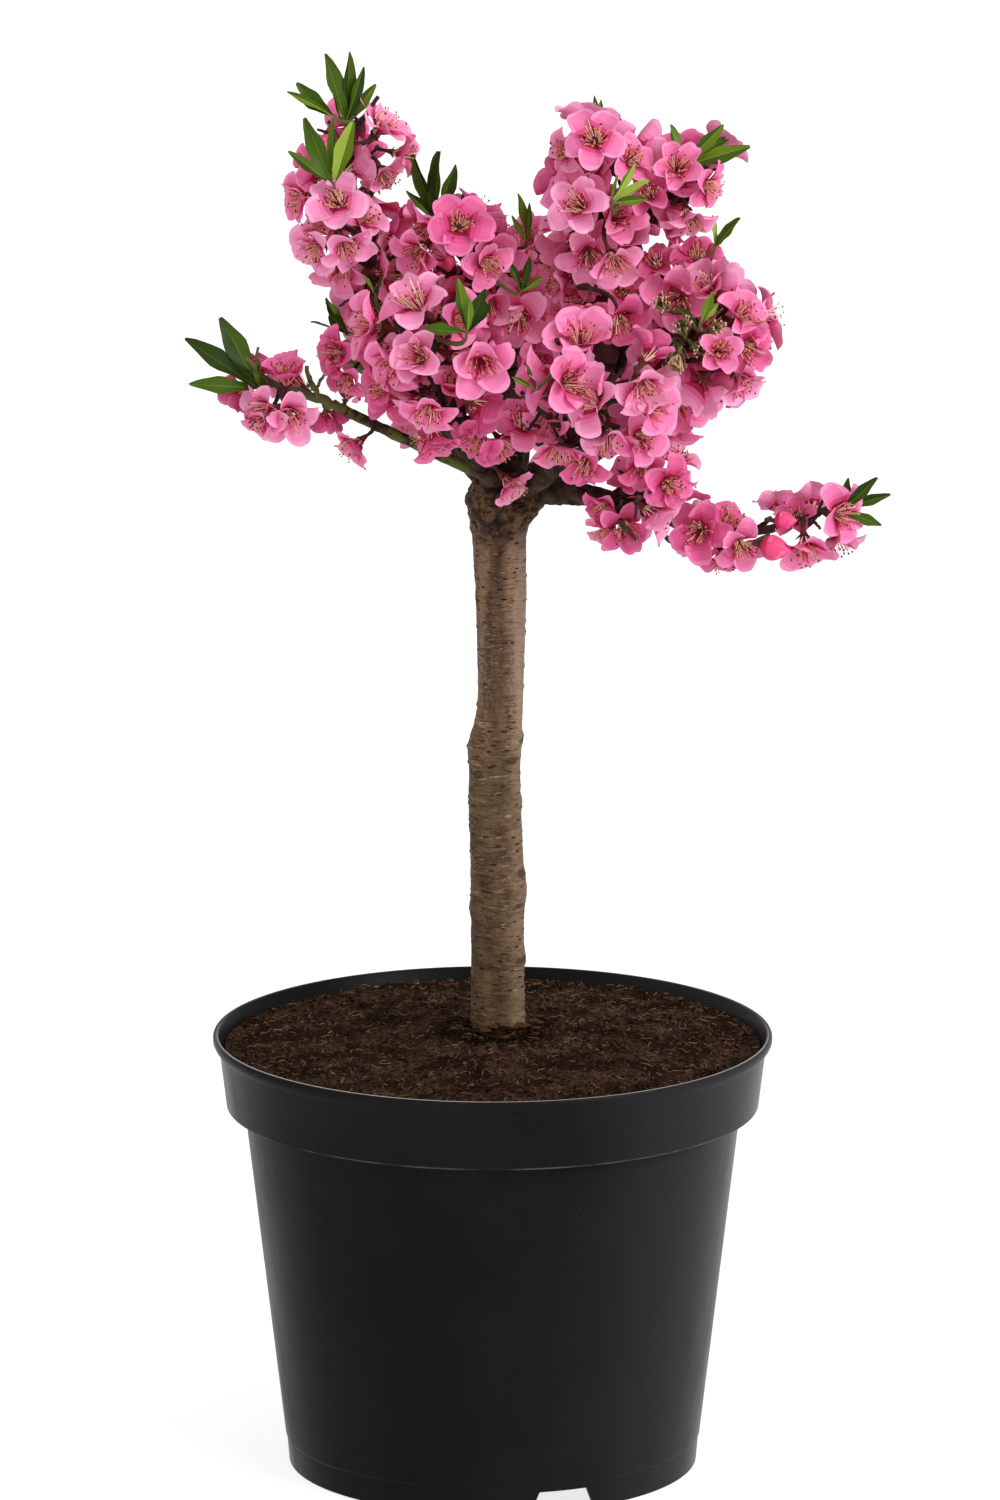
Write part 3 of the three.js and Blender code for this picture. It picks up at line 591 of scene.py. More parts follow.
for at, side, wide, tall in SCARS:
    turn = math.radians(side)
    spot = (SCAR_AXIS + SCAR_RADIUS * math.cos(turn), SCAR_RADIUS * math.sin(turn), at)
    stretch = (1 / (wide * MM), 1 / (wide * MM), 1 / (tall * MM))
    near = bark.node("ShaderNodeVectorMath", {"operation": "SUBTRACT"}, bark.place(), spot)
    near = bark.node("ShaderNodeVectorMath", {"operation": "MULTIPLY"}, near, stretch)
    near = bark.node("ShaderNodeVectorMath", {"operation": "LENGTH"}, near)
    scar = (near + bark.noise(0.003, 4, 0.7) * 1.3).between(1.65, 1.0)
    scars = scars + scar if scars else scar
tone = bark.mix(scars * 0.75, tone, (0.026, 0.014, 0.009))
head = (level + bark.noise(0.012, 3) * 0.03).between(0.476, 0.498)
cracks = bark.spots(0.0065).between(0.5, 0.8)
crusty = bark.noise(0.0036, 5, 0.72).between(0.36, 0.64)
rind = bark.mix(crusty, (0.016, 0.007, 0.003), (0.150, 0.076, 0.036))
rind = bark.mix(cracks * 0.8, rind, (0.006, 0.003, 0.002))
rind = bark.mix(bark.spots(0.006).between(0.2, 0.05) * 0.5, rind, (0.19, 0.12, 0.08))
bark.set("Base Color", bark.mix(head, tone, rind))
bark.set("Roughness", 0.54 + grain * 0.2 - head * 0.2)
relief = grain * 0.3 + sheen * 0.5 + pale * 0.3 - hair * 0.3 - dashes * 0.2 - scars * 0.3
bark.bump(relief + head * (bark.noise(0.003, 4, 0.7) - cracks * 0.6) * 1.6, 0.0013)
dress(trunk, bark)
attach(trunk, "root")
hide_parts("trunk")

# ---------------------------------------------------------------------------------- boughs
# The boughs of the crown, which leave the head and fork from one another. They are dark and rough, with
# ridges and paler patches. The long low one to the left is younger, greener wood.
ARMS = [  # name, bough (root, bend, tip), its two radii, the stem's top, reach, twigs, leaves, seed
    ("low_left", (2, -3, 502), (-38, -16, 522), (-72, -25, 541), 3.5, 2.7, (-122, -33, 559), 29, 1, 4, 4199),
    ("left", (3, 0, 498), (-14, 0, 520), (-40, -4, 562), 8, 5, (-71, -8, 683), 38, 8, 4, 869),
    ("front_left", (3, -5, 500), (-8, -24, 514), (-16, -33, 534), 7, 4.6, (-36, -60, 582), 45, 8, 3, 2812),
    ("centre", (8, 2, 500), (13, -1, 528), (8, -4, 558), 7.5, 5, (-24, -18, 628), 40, 7, 4, 8000),
    ("front_right", (13, -5, 499), (26, -30, 506), (32, -42, 520), 7, 4.6, (52, -72, 562), 46, 8, 2, 4625),
    ("right", (8, 0, 496), (54, -4, 504), (55, -6, 562), 9.5, 6, (53, -12, 668), 38, 8, 2, 4889),
    ("high_right", (54, -3, 538), (66, 16, 560), (70, 11, 612), 5, 3.4, (102, 0, 655), 32, 4, 4, 7361),
    ("side_right", (50, -4, 530), (68, -12, 540), (80, -15, 556), 5.6, 4, (107, -15, 585), 44, 8, 3, 3962),
    ("low_right", (8, -1, 495), (52, -10, 500), (88, -24, 486), 8, 3.2, (170, -31, 495), 26, 0, 4, 8605),
    ("under_right", (44, -9, 497), (46, -26, 498), (52, -36, 499), 4.4, 3.6, (82, -50, 500), 37, 4, 2, 223),
    ("back_left", (0, 4, 498), (-18, 28, 512), (-28, 38, 530), 7, 4.6, (-54, 64, 588), 46, 8, 3, 8661),
    ("back", (8, 5, 498), (14, 36, 510), (18, 50, 528), 7, 4.6, (22, 86, 584), 46, 8, 3, 3580),
    ("back_right", (44, -1, 512), (62, 28, 520), (72, 38, 530), 6, 4.2, (100, 62, 566), 43, 7, 3, 6144),
    ("low_back", (6, 4, 495), (20, 40, 501), (28, 70, 495), 6, 3.2, (34, 126, 505), 28, 1, 3, 1765),
]
YOUNG_ARM = "low_left"
STEP = 8  # between two seats of flowers along a stem, before it is made finer
STEP_OF = {"left": 9, "under_right": 7}
STEM_GAP = 0.3
STEM_HOLD = 0.45
RIDGES = ((0.011, 2.0), (0.0042, 1.4), (0.0018, 0.8))  # size in metres, lift in mm


def unit(vector):
    return vector / max(1e-12, math.sqrt(float(vector @ vector)))


class Curve:
    """A limb's line through space, a quadratic curve."""

    def __init__(self, root, bend, tip):
        self.root, self.bend, self.tip = [np.array(point, float) for point in (root, bend, tip)]

    def point(self, t):
        t = np.asarray(t, float)[..., None]
        return (1 - t) ** 2 * self.root + 2 * t * (1 - t) * self.bend + t**2 * self.tip

    def tangent(self, t):
        return unit((1 - t) * (self.bend - self.root) + t * (self.tip - self.bend))

    def length(self):
        points = self.point(np.linspace(0, 1, 60))
        return float(np.linalg.norm(np.diff(points, axis=0), axis=1).sum())

    def frame(self, t):
        """The point, the way the wood runs, and two directions across it."""
        chord = unit(self.tip - self.root)
        guide = np.array((0.0, 1.0, 0.0) if abs(chord[2]) > 0.75 else (0.0, 0.0, 1.0))
        along = self.tangent(t)
        across = unit(np.cross(guide, along))
        return self.point(t), along, across, unit(np.cross(across, along))


class Arm:
    """One bough and the mass of blossom beyond it, in mm."""

    def __init__(self, name, root, bend, tip, thick, thin, top, reach, twigs, leaves, seed):
        self.name = name
        self.bough = Curve(root, bend, tip)
        self.radii = (thick, thin)
        heading = self.bough.tangent(1)
        start = self.bough.tip + heading * STEM_GAP
        hold = float(np.linalg.norm(np.array(top) - start)) * STEM_HOLD
        self.stem = Curve(start, start + heading * hold, top)
        self.reach = reach
        self.twigs = twigs
        self.step = STEP_OF.get(name, STEP)
        self.leaves = leaves
        self.seed = seed


arms = [Arm(*arm) for arm in ARMS]


def bough_piece(arm):
    """A tapering limb, drawn as a curve with a round section and made a mesh, then roughened."""
    line = bpy.data.curves.new("bough_" + arm.name, "CURVE")
    line.dimensions = "3D"
    line.bevel_depth = MM
    line.bevel_resolution = 6
    line.resolution_u = 44
    line.use_fill_caps = True
    spline = line.splines.new("BEZIER")
    spline.bezier_points.add(1)
    root, bend, tip = arm.bough.root * MM, arm.bough.bend * MM, arm.bough.tip * MM
    ends = [(root, root + (root - bend) * 2 / 3, root + (bend - root) * 2 / 3, arm.radii[0] * 0.96)]
    ends.append((tip, tip + (bend - tip) * 2 / 3, tip + (tip - bend) * 2 / 3, arm.radii[1] * 0.96))
    for point, (place, before, after, radius) in zip(spline.bezier_points, ends):
        point.co, point.handle_left, point.handle_right = place, before, after
        point.radius = radius
    piece = bpy.data.objects.new("limb_" + arm.name, line)
    bpy.context.scene.collection.objects.link(piece)
    bpy.ops.object.select_all(action="DESELECT")
    piece.select_set(True)
    bpy.context.view_layer.objects.active = piece
    bpy.ops.object.convert(target="MESH")
    piece = bpy.context.object
    finished(piece, "SUBSURF", levels=1, render_levels=1)
    for size, lift in RIDGES:
        ridges = bpy.data.textures.new("ridges", "CLOUDS")
        ridges.noise_scale = size
        lift = lift * MM * (0.45 if arm.name == YOUNG_ARM else 1)
        finished(piece, "DISPLACE", texture=ridges, strength=lift, mid_level=0.55, texture_coords="LOCAL")
    smoothed(piece, 60)
    return piece


limb_bark = Finish("limb_bark", (0.05, 0.03, 0.02), 0.8, Specular_IOR_Level=0.12)
flake = limb_bark.noise(0.005, 5, 0.7)
rough = limb_bark.mix(flake.between(0.34, 0.66), (0.009, 0.0045, 0.003), (0.062, 0.036, 0.022))
lichen = limb_bark.noise(0.012, 4).between(0.5, 0.66) * 0.5
limb_bark.set("Base Color", limb_bark.mix(lichen, rough, (0.105, 0.068, 0.045)))
limb_bark.bump(flake + limb_bark.noise(0.0016, 3, 0.7) * 0.4, 0.0012)
young_bark = Finish("young_bark", (0.07, 0.06, 0.02), 0.6, Specular_IOR_Level=0.2)
tint = young_bark.noise(0.008, 4, 0.65)
green = young_bark.mix(tint.between(0.42, 0.56), (0.034, 0.022, 0.008), (0.092, 0.112, 0.020))
specks = young_bark.spots(0.004).between(0.22, 0.1)
young_bark.set("Base Color", young_bark.mix(specks * 0.7, green, (0.02, 0.011, 0.006)))
young_bark.bump(tint + specks * 0.4, 0.0007)
for arm in arms:
    bough = bough_piece(arm)
    dress(bough, young_bark if arm.name == YOUNG_ARM else limb_bark)
    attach(bough, "root")
    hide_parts("bough_" + arm.name)

# ---------------------------------------------------------------------------------- flowering shoots
# Last year's wood: a stem goes on from each bough, with side twigs and short finer twigs. They grow by
# one seeded rule, each mass in its own space, and carry the blossom on short spurs.
GOLDEN_TURN = 2.39996
# How far past the middle between two masses a twig may go, how far waves draw the outline in, and how
# clear of stem and boughs it stays.
SPACE_GAP = -3
REACH_WAVE = 5
WOOD_GAP = 0.5
SAMPLES = 20
TRIES = 16
STEM_TIP = 1.5
# For the stem, the twigs and the fine twigs.
SHOOT_SIDES = (8, 6, 5)
SHOOT_RINGS = (26, 11, 8)
SHOOT_KINK = (1.3, 1.0, 0.7)
# Radii in mm, pitch in radians, and lengths as shares of the reach or of the twig. Room is how far inside
# the reach the wood keeps, so that flowers fit beyond it.
TWIG = {
    "more": 1.9, "radii": (1.7, 1.0), "length": (0.4, 0.8), "pitch": (0.3, 0.9), "lift": 0.2, "room": -9.5,
}
TWIGS_ADDED = {"low_right": 3, "high_right": 3, "left": 2, "low_back": 2}
FINE_TWIG = {"each": 2, "radii": (1.05, 0.7), "share": (0.35, 0.6), "pitch": (0.2, 0.8), "room": -6}
YOUNG_WOOD = 3


def dice(seed, shoot):
    """A seeded die of its own for each shoot of a mass."""
    state = (100 * seed + shoot) * 2654435761 % 2**32

    def roll():
        nonlocal state
        state = (state * 1664525 + 1013904223) % 2**32
        return state / 2**32

    return roll


def between(limits, share):
    return limits[0] + (limits[1] - limits[0]) * share


def leaning(at, turn, lean):
    """A direction across the wood, turned round it, and leaned towards its tip."""
    point, along, across, out = at
    aside = across * math.cos(turn) + out * math.sin(turn)
    return aside * math.cos(lean) + along * math.sin(lean)


stem_points = np.array([arm.stem.point(np.linspace(0, 1, SAMPLES + 1)) for arm in arms])
reaches = np.array([arm.reach for arm in arms], float)
wood_points, wood_radii = [], []
for t in np.linspace(0, 1, 2 * SAMPLES + 1):
    right, radius = trunk_at(float(t))
    wood_points.append((right, 0, TRUNK_FOOT + t * (TRUNK_HEAD - TRUNK_FOOT)))
    wood_radii.append(radius)
for arm in arms:
    wood_points.extend(arm.bough.point(np.linspace(0, 1, SAMPLES + 1)))
    wood_radii.extend(np.linspace(*arm.radii, SAMPLES + 1))
wood_points, wood_radii = np.array(wood_points), np.array(wood_radii)


def in_space(arm, points, extra=0.0):
    """True where a mass may grow: within reach of its stem, nearer to it than to others, clear of wood.
    Low waves of the reach break up the outline."""
    points = np.asarray(points, float).reshape(-1, 3)
    own = arms.index(arm)
    waves = np.sin(points * (0.115, 0.13, 0.105) + (0.4, 1.9, 2.6)).sum(axis=1) / 3
    extra = extra - REACH_WAVE * (0.5 + 0.5 * waves)
    depths = np.linalg.norm(points[:, None, None] - stem_points, axis=3).min(axis=2) - reaches
    mine = depths[:, own]
    others = np.delete(depths, own, axis=1).min(axis=1)
    clear = (np.linalg.norm(points[:, None] - wood_points, axis=2) - wood_radii).min(axis=1)
    return bool((mine < extra).all() and (others > mine + SPACE_GAP).all() and (clear > WOOD_GAP).all())


class Shoot:
    """A length of flowering wood: its line, its two radii, its number in the mass, and its order."""

    def __init__(self, curve, radii, number, order):
        self.curve = curve
        self.radii = radii
        self.number = number
        self.order = order


def side_shoot(arm, at, turn, roll, limits, pitch, lift, room):
    """The first try at a twig from that place that keeps to the mass's own space."""
    tries = []
    for k in range(TRIES):
        length = between(limits, roll())
        way = leaning(at, turn + 0.7 * k, between(pitch, roll()))
        tip = at[0] + way * length + (0, 0, length * lift)
        tries.append(Curve(at[0], at[0] + way * length / 2, tip))
    for curve in tries:
        if in_space(arm, curve.point([0.5, 0.75, 1.0]), room):
            return curve
    return None


def shoots_of(arm):
    """The stem of a mass, its twigs in turn round it, and the finer twigs on those."""
    shoots = [Shoot(arm.stem, (arm.radii[1], STEM_TIP), 0, 0)]
    roll = dice(arm.seed, 99)
    turn = roll() * 2 * math.pi
    count = round(arm.twigs * TWIG["more"]) + TWIGS_ADDED.get(arm.name, 0)
    for i in range(count):
        turn += GOLDEN_TURN
        at = arm.stem.frame(0.06 + 0.9 * (i + 0.5) / count)
        limits = [arm.reach * share for share in TWIG["length"]]
        twig = side_shoot(arm, at, turn, roll, limits, TWIG["pitch"], TWIG["lift"], TWIG["room"])
        if twig is None:
            continue
        shoots.append(Shoot(twig, TWIG["radii"], i + 1, 1))
        finer = dice(arm.seed, 200 + i)
        for j in range(FINE_TWIG["each"]):
            limits = [twig.length() * share for share in FINE_TWIG["share"]]
            at = twig.frame(0.35 + 0.5 * j / FINE_TWIG["each"])
            side = GOLDEN_TURN * (j + 1) + turn
            fine = side_shoot(arm, at, side, finer, limits, FINE_TWIG["pitch"], 0, FINE_TWIG["room"])
            if fine is not None:
                shoots.append(Shoot(fine, FINE_TWIG["radii"], 300 + 10 * i + j, 2))
    return shoots


def tube(points, radii, sides):
    """A closed round limb through points, in mm: its points and faces."""
    points = np.asarray(points, float)
    runs = np.gradient(points, axis=0)
    runs /= np.maximum(1e-9, np.linalg.norm(runs, axis=1))[:, None]
    mean = unit(points[-1] - points[0])
    guide = np.array((0.0, 1.0, 0.0) if abs(mean[2]) > 0.75 else (0.0, 0.0, 1.0))
    across = np.cross(guide, runs)
    across /= np.maximum(1e-9, np.linalg.norm(across, axis=1))[:, None]
    out = np.cross(runs, across)
    turns = np.arange(sides) * 2 * math.pi / sides
    spread = across[:, None] * np.cos(turns)[:, None] + out[:, None] * np.sin(turns)[:, None]
    rings = points[:, None] + spread * np.asarray(radii, float)[:, None, None]
    return rings.reshape(-1, 3), grid_faces(len(points), sides)


def shoot_wood(arm, shoot):
    """A shoot with small kinks and swollen joints, in one of three tones, or green on the young bough."""
    rings = SHOOT_RINGS[shoot.order]
    share = np.linspace(0, 1, rings)
    bend = dice(arm.seed, 700 + shoot.number)
    kink = np.array([[bend() - 0.5 for _ in range(3)] for _ in range(rings)])
    kink[0] = 0
    line = shoot.curve.point(share) + kink * SHOOT_KINK[shoot.order]
    swell = 1 + 0.2 * np.array([bend() for _ in range(rings)]) * (np.arange(rings) % 3 == 1)
    thick = between(shoot.radii, share) * swell
    tone = YOUNG_WOOD if arm.name == YOUNG_ARM else int(bend() * YOUNG_WOOD)
    return (*tube(line, thick, SHOOT_SIDES[shoot.order]), tone)


def stand_for_masses(piece):
    """What grows beyond the boughs is joined by kind, so each such piece stands for all the masses."""
    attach(piece, "root")
    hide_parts(*["blossom_" + arm.name for arm in arms])


shoots = {arm.name: shoots_of(arm) for arm in arms}
twigs = joined("twigs", [shoot_wood(arm, shoot) for arm in arms for shoot in shoots[arm.name]])
smoothed(twigs, 70)
twig_finishes = [
    Finish("twig_dark", (0.022, 0.011, 0.008), 0.7, Specular_IOR_Level=0.3),
    Finish("twig_brown", (0.055, 0.029, 0.018), 0.7, Specular_IOR_Level=0.3),
    Finish("twig_red", (0.06, 0.017, 0.013), 0.65, Specular_IOR_Level=0.3),
    Finish("twig_green", (0.098, 0.100, 0.028), 0.6, Specular_IOR_Level=0.3),
]
dress(twigs, *twig_finishes)
stand_for_masses(twigs)

# ---------------------------------------------------------------------------------- blossom
# Open single flowers, each with five rounded, cupped petals on a small red cup. They are deep magenta
# at the throat and pale at the margin. A flower is turned round its shoot to where it has most room.
BLOSSOM_RADIUS = 19
PETALS = 5
STALK = (3, 15)
LEAN = (0.1, 0.75)
FINER_STEP = 0.62
TWIG_SEATS = 6
FINE_SEATS = 3
TIP_SEAT = 0.95
# How near two flowers may stand, as a share of their radii, and how far a flower keeps inside its mass.
CROWDING = 0.49
CROWDING_OF = {"low_left": 0.6, "low_right": 0.6, "high_right": 0.43}
ROOM_ENOUGH = 0.8
MARGIN = 2.5
MARGIN_OF = {"side_right": 1, "low_left": 0, "low_right": 0}
TOP_OF = {"left": 697, "right": 698, "centre": 652}
# Flowers face out from the crown's heart, or hang from the low shoots.
CROWN_HEART = np.array((10, 0, 560))
FACING = 0.3
HANGING = {"low_left": (-0.2, -0.5, -0.8), "low_right": (0, -0.4, -0.9), "low_back": (0, 0.4, -0.8)}
# A petal's two shoulders, and the notch between it and the next, as shares of the flower's radius.
SHOULDER_TURN = 0.46
SHOULDER_RISE = 0.42
NOTCH_SHARE = 0.6
NOTCH_RISE = 0.24
THROAT_RISE = 0.14


class Flower:
    """Where one flower sits: its foot in the wood, the way it faces, how far it stands off, its size."""

    def __init__(self, arm, foot, way, stand, radius, spin, seed, tone=None):
        self.arm = arm
        self.foot = np.array(foot, float)
        self.way = unit(np.array(way, float))
        self.stand = stand
        self.radius = radius
        self.spin = spin
        self.throat = self.foot + self.way * (stand + THROAT_RISE * radius)
        self.dice = np.random.default_rng(seed)
        self.tone = tone
        guide = np.array((0.0, 0.0, 1.0) if abs(self.way[2]) < 0.9 else (1.0, 0.0, 0.0))
        self.right = unit(np.cross(guide, self.way))
        self.up = np.cross(self.way, self.right)

    def out(self, points):
        """From the flower's own directions, with its axis up, to where it is."""
        points = np.asarray(points, float)
        return (
            self.foot + points[..., :1] * self.right + points[..., 1:2] * self.up
            + (points[..., 2:] + self.stand) * self.way
        )

    def axis(self, *heights):
        """Points on the flower's axis."""
        return self.out([(0, 0, height) for height in heights])

    def room_points(self):
        """Corners and middles of its petals, and its throat, which must have room."""
        step = 2 * math.pi / PETALS
        corners = []
        for k in range(PETALS):
            for angle, share, rise in (
                ((k - 0.5) * step, NOTCH_SHARE, NOTCH_RISE),
                (k * step - SHOULDER_TURN, 1, SHOULDER_RISE),
                (k * step + SHOULDER_TURN, 1, SHOULDER_RISE),
            ):
                reach = share * self.radius
                turn = angle + self.spin
                corners.append((reach * math.cos(turn), reach * math.sin(turn), rise * self.radius))
        corners = self.out(corners)
        return np.concatenate([corners, (corners + self.throat) / 2, self.throat[None]])


# Single flowers on spurs of their own, in front, round the fork and along the low boughs: the mass whose
# wood bears them, the throat in mm, the way they face, their radius, and how deep their colour is. Some
# are buds, and some are over.
PALE, MIDDLE, DEEP, BUD, WITHERED = range(5)
LONE_STAND = 6
LONE_FLOWERS = [
    ("front_left", (-6, -50, 533), (-0.5, -0.6, -0.6), 14.5, DEEP),
    ("front_left", (4, -48, 530), (0.5, -0.6, -0.6), 15, DEEP),
    ("front_left", (15, -50, 538), (0.1, -0.7, 0.7), 15, MIDDLE),
    ("front_left", (7, -30, 507), (0.62, -0.42, -0.66), 14.5, PALE),
    ("front_left", (-6, -92, 579), (0.12, -1, -0.22), 19.5, MIDDLE),
    ("front_left", (-34, -86, 578), (-0.5, -0.8, 0.3), 16.5, PALE),
    ("front_left", (-30, -84, 555), (-0.2, -0.65, -0.75), 15.5, MIDDLE),
    ("front_left", (-20, -70, 559), (0.2, -0.5, 0.85), 14, MIDDLE),
    ("front_left", (-51, -60, 559), (-0.8, -0.6, 0.1), 15, DEEP),
    ("front_right", (29, -52, 544), (-0.3, -0.8, -0.5), 15, MIDDLE),
    ("front_right", (33, -58, 531), (-0.1, -0.45, -0.9), 15, MIDDLE),
    ("front_right", (46, -58, 523), (-0.3, -0.75, -0.5), 14, DEEP),
    ("front_right", (57, -66, 538), (0.1, -0.55, -0.85), 16, PALE),
    ("front_right", (71, -64, 536), (0.45, -0.8, -0.1), 15, MIDDLE),
    ("front_right", (35, -94, 568), (0.65, -0.72, 0.2), 18.5, MIDDLE),
    ("front_right", (72, -92, 568), (0.3, -0.75, -0.6), 17, PALE),
    ("under_right", (73, -56, 521), (0, -0.8, -0.5), 13.5, DEEP),
    ("under_right", (85, -56, 511), (0.4, -0.85, -0.1), 14, DEEP),
    ("under_right", (89, -34, 517), (0.3, -0.4, 0.85), 13, PALE),
    ("under_right", (57, -44, 499), (-0.5, -0.55, -0.6), 13.5, DEEP),
    ("under_right", (64, -50, 489), (0.15, -0.9, -0.35), 14.5, DEEP),
    ("under_right", (58, -44, 486), (-0.5, -0.4, -0.75), 12, MIDDLE),
    ("low_left", (-101, -44, 559), (0, -0.3, 0.95), 14.5, DEEP),
    ("low_left", (-116, -30, 561), (0.3, 0.5, 0.8), 11.5, DEEP),
    ("low_left", (-123, -28, 552), (-0.5, 0.3, -0.5), 11.5, DEEP),
    ("low_left", (-108, -42, 545), (-0.9, -0.4, -0.2), 17, PALE),
    ("low_left", (-100, -48, 545), (0.25, -0.85, -0.4), 16.5, PALE),
    ("low_left", (-112, -40, 541), (-0.6, -0.5, -0.6), 11, MIDDLE),
    ("low_left", (-66, -34, 527), (-0.75, -0.4, -0.5), 14, MIDDLE),
    ("low_left", (-81, -20, 539), (0.3, 0.5, -0.8), 12, DEEP),
    ("low_left", (-72, -22, 547), (0.2, 0.3, 0.9), 10, DEEP),
    ("low_right", (102, -44, 485), (-0.25, -0.9, 0.0), 16.5, DEEP),
    ("low_right", (115, -36, 486), (0.5, -0.5, 0.7), 13, DEEP),
    ("low_right", (112, -36, 472), (0.15, -0.6, -0.8), 13, DEEP),
    ("low_right", (121, -46, 479), (0.25, -0.8, -0.35), 14.5, MIDDLE),
    ("low_right", (141, -16, 489), (-0.1, 0.6, 0.7), 12.5, PALE),
    ("low_right", (157, -14, 491), (0.1, 0.6, 0.75), 14, PALE),
    ("low_right", (153, -46, 480), (0.1, -0.65, -0.75), 17, MIDDLE),
    ("low_right", (150, -30, 487), (-0.3, -0.7, 0.6), 12, DEEP),
    ("low_right", (169, -42, 493), (0.65, -0.72, 0.1), 15.5, MIDDLE),
    ("low_right", (168, -26, 478), (0.2, -0.3, -1), 15, PALE),
    ("low_right", (136, -56, 479), (0.9, -0.35, -0.1), 13, BUD),
    ("low_right", (142, -50, 491), (0.95, -0.3, 0.05), 12.5, BUD),
    ("left", (-56, -14, 678), (0.62, -0.14, 0.75), 17.5, PALE),
    ("left", (-47, -12, 667), (0.9, -0.2, -0.15), 13, MIDDLE),
    ("left", (-54, -18, 659), (0.5, -0.5, -0.7), 13, PALE),
    ("front_left", (-73, -36, 571), (-0.75, -0.6, 0.1), 14, DEEP),
    ("front_left", (-70, -38, 561), (-0.5, -0.6, -0.6), 13.5, DEEP),
    ("left", (-75, -52, 648), (-0.25, -0.8, 0.5), 15.5, PALE),
    ("left", (-91, -22, 646), (-0.85, -0.45, -0.1), 14, MIDDLE),
    ("left", (-84, -34, 624), (-0.7, -0.6, -0.4), 15.5, PALE),
    ("left", (-72, -50, 629), (0.4, -0.7, -0.6), 15.5, PALE),
    ("left", (-64, -40, 637), (0.5, -0.6, 0.6), 14, PALE),
    ("centre", (-16, -50, 637), (0.15, -0.9, 0.4), 16, DEEP),
    ("centre", (-34, -44, 625), (-0.5, -0.7, -0.45), 15, MIDDLE),
    ("centre", (-4, -40, 618), (0.5, -0.7, -0.3), 14.5, MIDDLE),
    ("right", (50, -42, 678), (-0.1, -0.85, 0.5), 16.5, MIDDLE),
    ("right", (43, -48, 646), (-0.45, -0.8, 0.4), 16.5, PALE),
    ("right", (58, -50, 622), (0.3, -0.7, -0.6), 16.5, PALE),
    ("right", (47, -52, 597), (-0.1, -0.65, -0.75), 16, MIDDLE),
    ("right", (62, -50, 592), (0.2, -0.75, -0.65), 15, DEEP),
    ("right", (37, -20, 669), (-0.75, -0.6, 0.1), 12.5, PALE),
    ("right", (66, -30, 666), (0.6, -0.7, 0.4), 13.5, MIDDLE),
    ("right", (64, -12, 598), (0.2, -0.8, 0.3), 14, MIDDLE),
    ("high_right", (90, -28, 661), (0.1, -0.85, 0.5), 14.5, MIDDLE),
    ("high_right", (104, -16, 652), (0.75, -0.5, -0.3), 12.5, MIDDLE),
    ("high_right", (95, -22, 639), (0.2, -0.5, -0.85), 14.5, PALE),
    ("high_right", (77, -34, 649), (-0.2, -0.75, 0.5), 13.5, DEEP),
    ("side_right", (121, -42, 590), (0.6, -0.65, 0.45), 15.5, MIDDLE),
    ("side_right", (123, -44, 577), (0.5, -0.8, -0.2), 15, DEEP),
    ("side_right", (120, -36, 560), (0.45, -0.6, -0.6), 15, PALE),
    ("side_right", (109, -56, 576), (0.3, -0.8, 0.3), 13, MIDDLE),
    ("side_right", (83, -58, 599), (-0.3, -0.8, 0.4), 12, WITHERED),
    ("side_right", (93, -62, 588), (-0.1, -0.8, 0.6), 12.5, WITHERED),
    ("side_right", (83, -64, 583), (-0.5, -0.8, 0.1), 12, WITHERED),
    ("side_right", (99, -58, 579), (0.4, -0.8, -0.2), 12, WITHERED),
    ("side_right", (90, -62, 574), (-0.2, -0.7, -0.5), 12.5, WITHERED),
    ("side_right", (107, -56, 587), (0.5, -0.8, 0.3), 11, WITHERED),
    ("side_right", (81, -8, 610), (-0.3, -0.6, 0.7), 12.5, DEEP),
    ("side_right", (101, -6, 613), (-0.1, -0.5, 0.85), 13, DEEP),
]


def side_line(name, tip, way):
    """The line of a short shoot from the nearest wood of that mass and its bough to its tip."""
    arm = next(arm for arm in arms if arm.name == name)
    lines = [arm.bough.point(np.linspace(0.15, 1, 24))]
    lines.extend(shoot.curve.point(np.linspace(0.1, 1, 12)) for shoot in shoots[name])
    starts = np.concatenate(lines)
    start = starts[np.argmin(np.linalg.norm(starts - tip, axis=1))]
    return Curve(start, tip - way * 0.4 * np.linalg.norm(tip - start), tip)


lone, side_wood = [], []
for number, (name, throat, way, radius, tone) in enumerate(LONE_FLOWERS):
    way = unit(np.array(way, float))
    foot = np.array(throat, float) - way * (LONE_STAND + THROAT_RISE * radius)
    lone.append(Flower(name, foot, way, LONE_STAND, radius, 1.7 * number, 1000 + number, tone))
    line = side_line(name, foot, way)
    side_wood.append((*tube(line.point(np.linspace(0, 1, 6)), np.linspace(1.5, 1.0, 6), 5), 1))

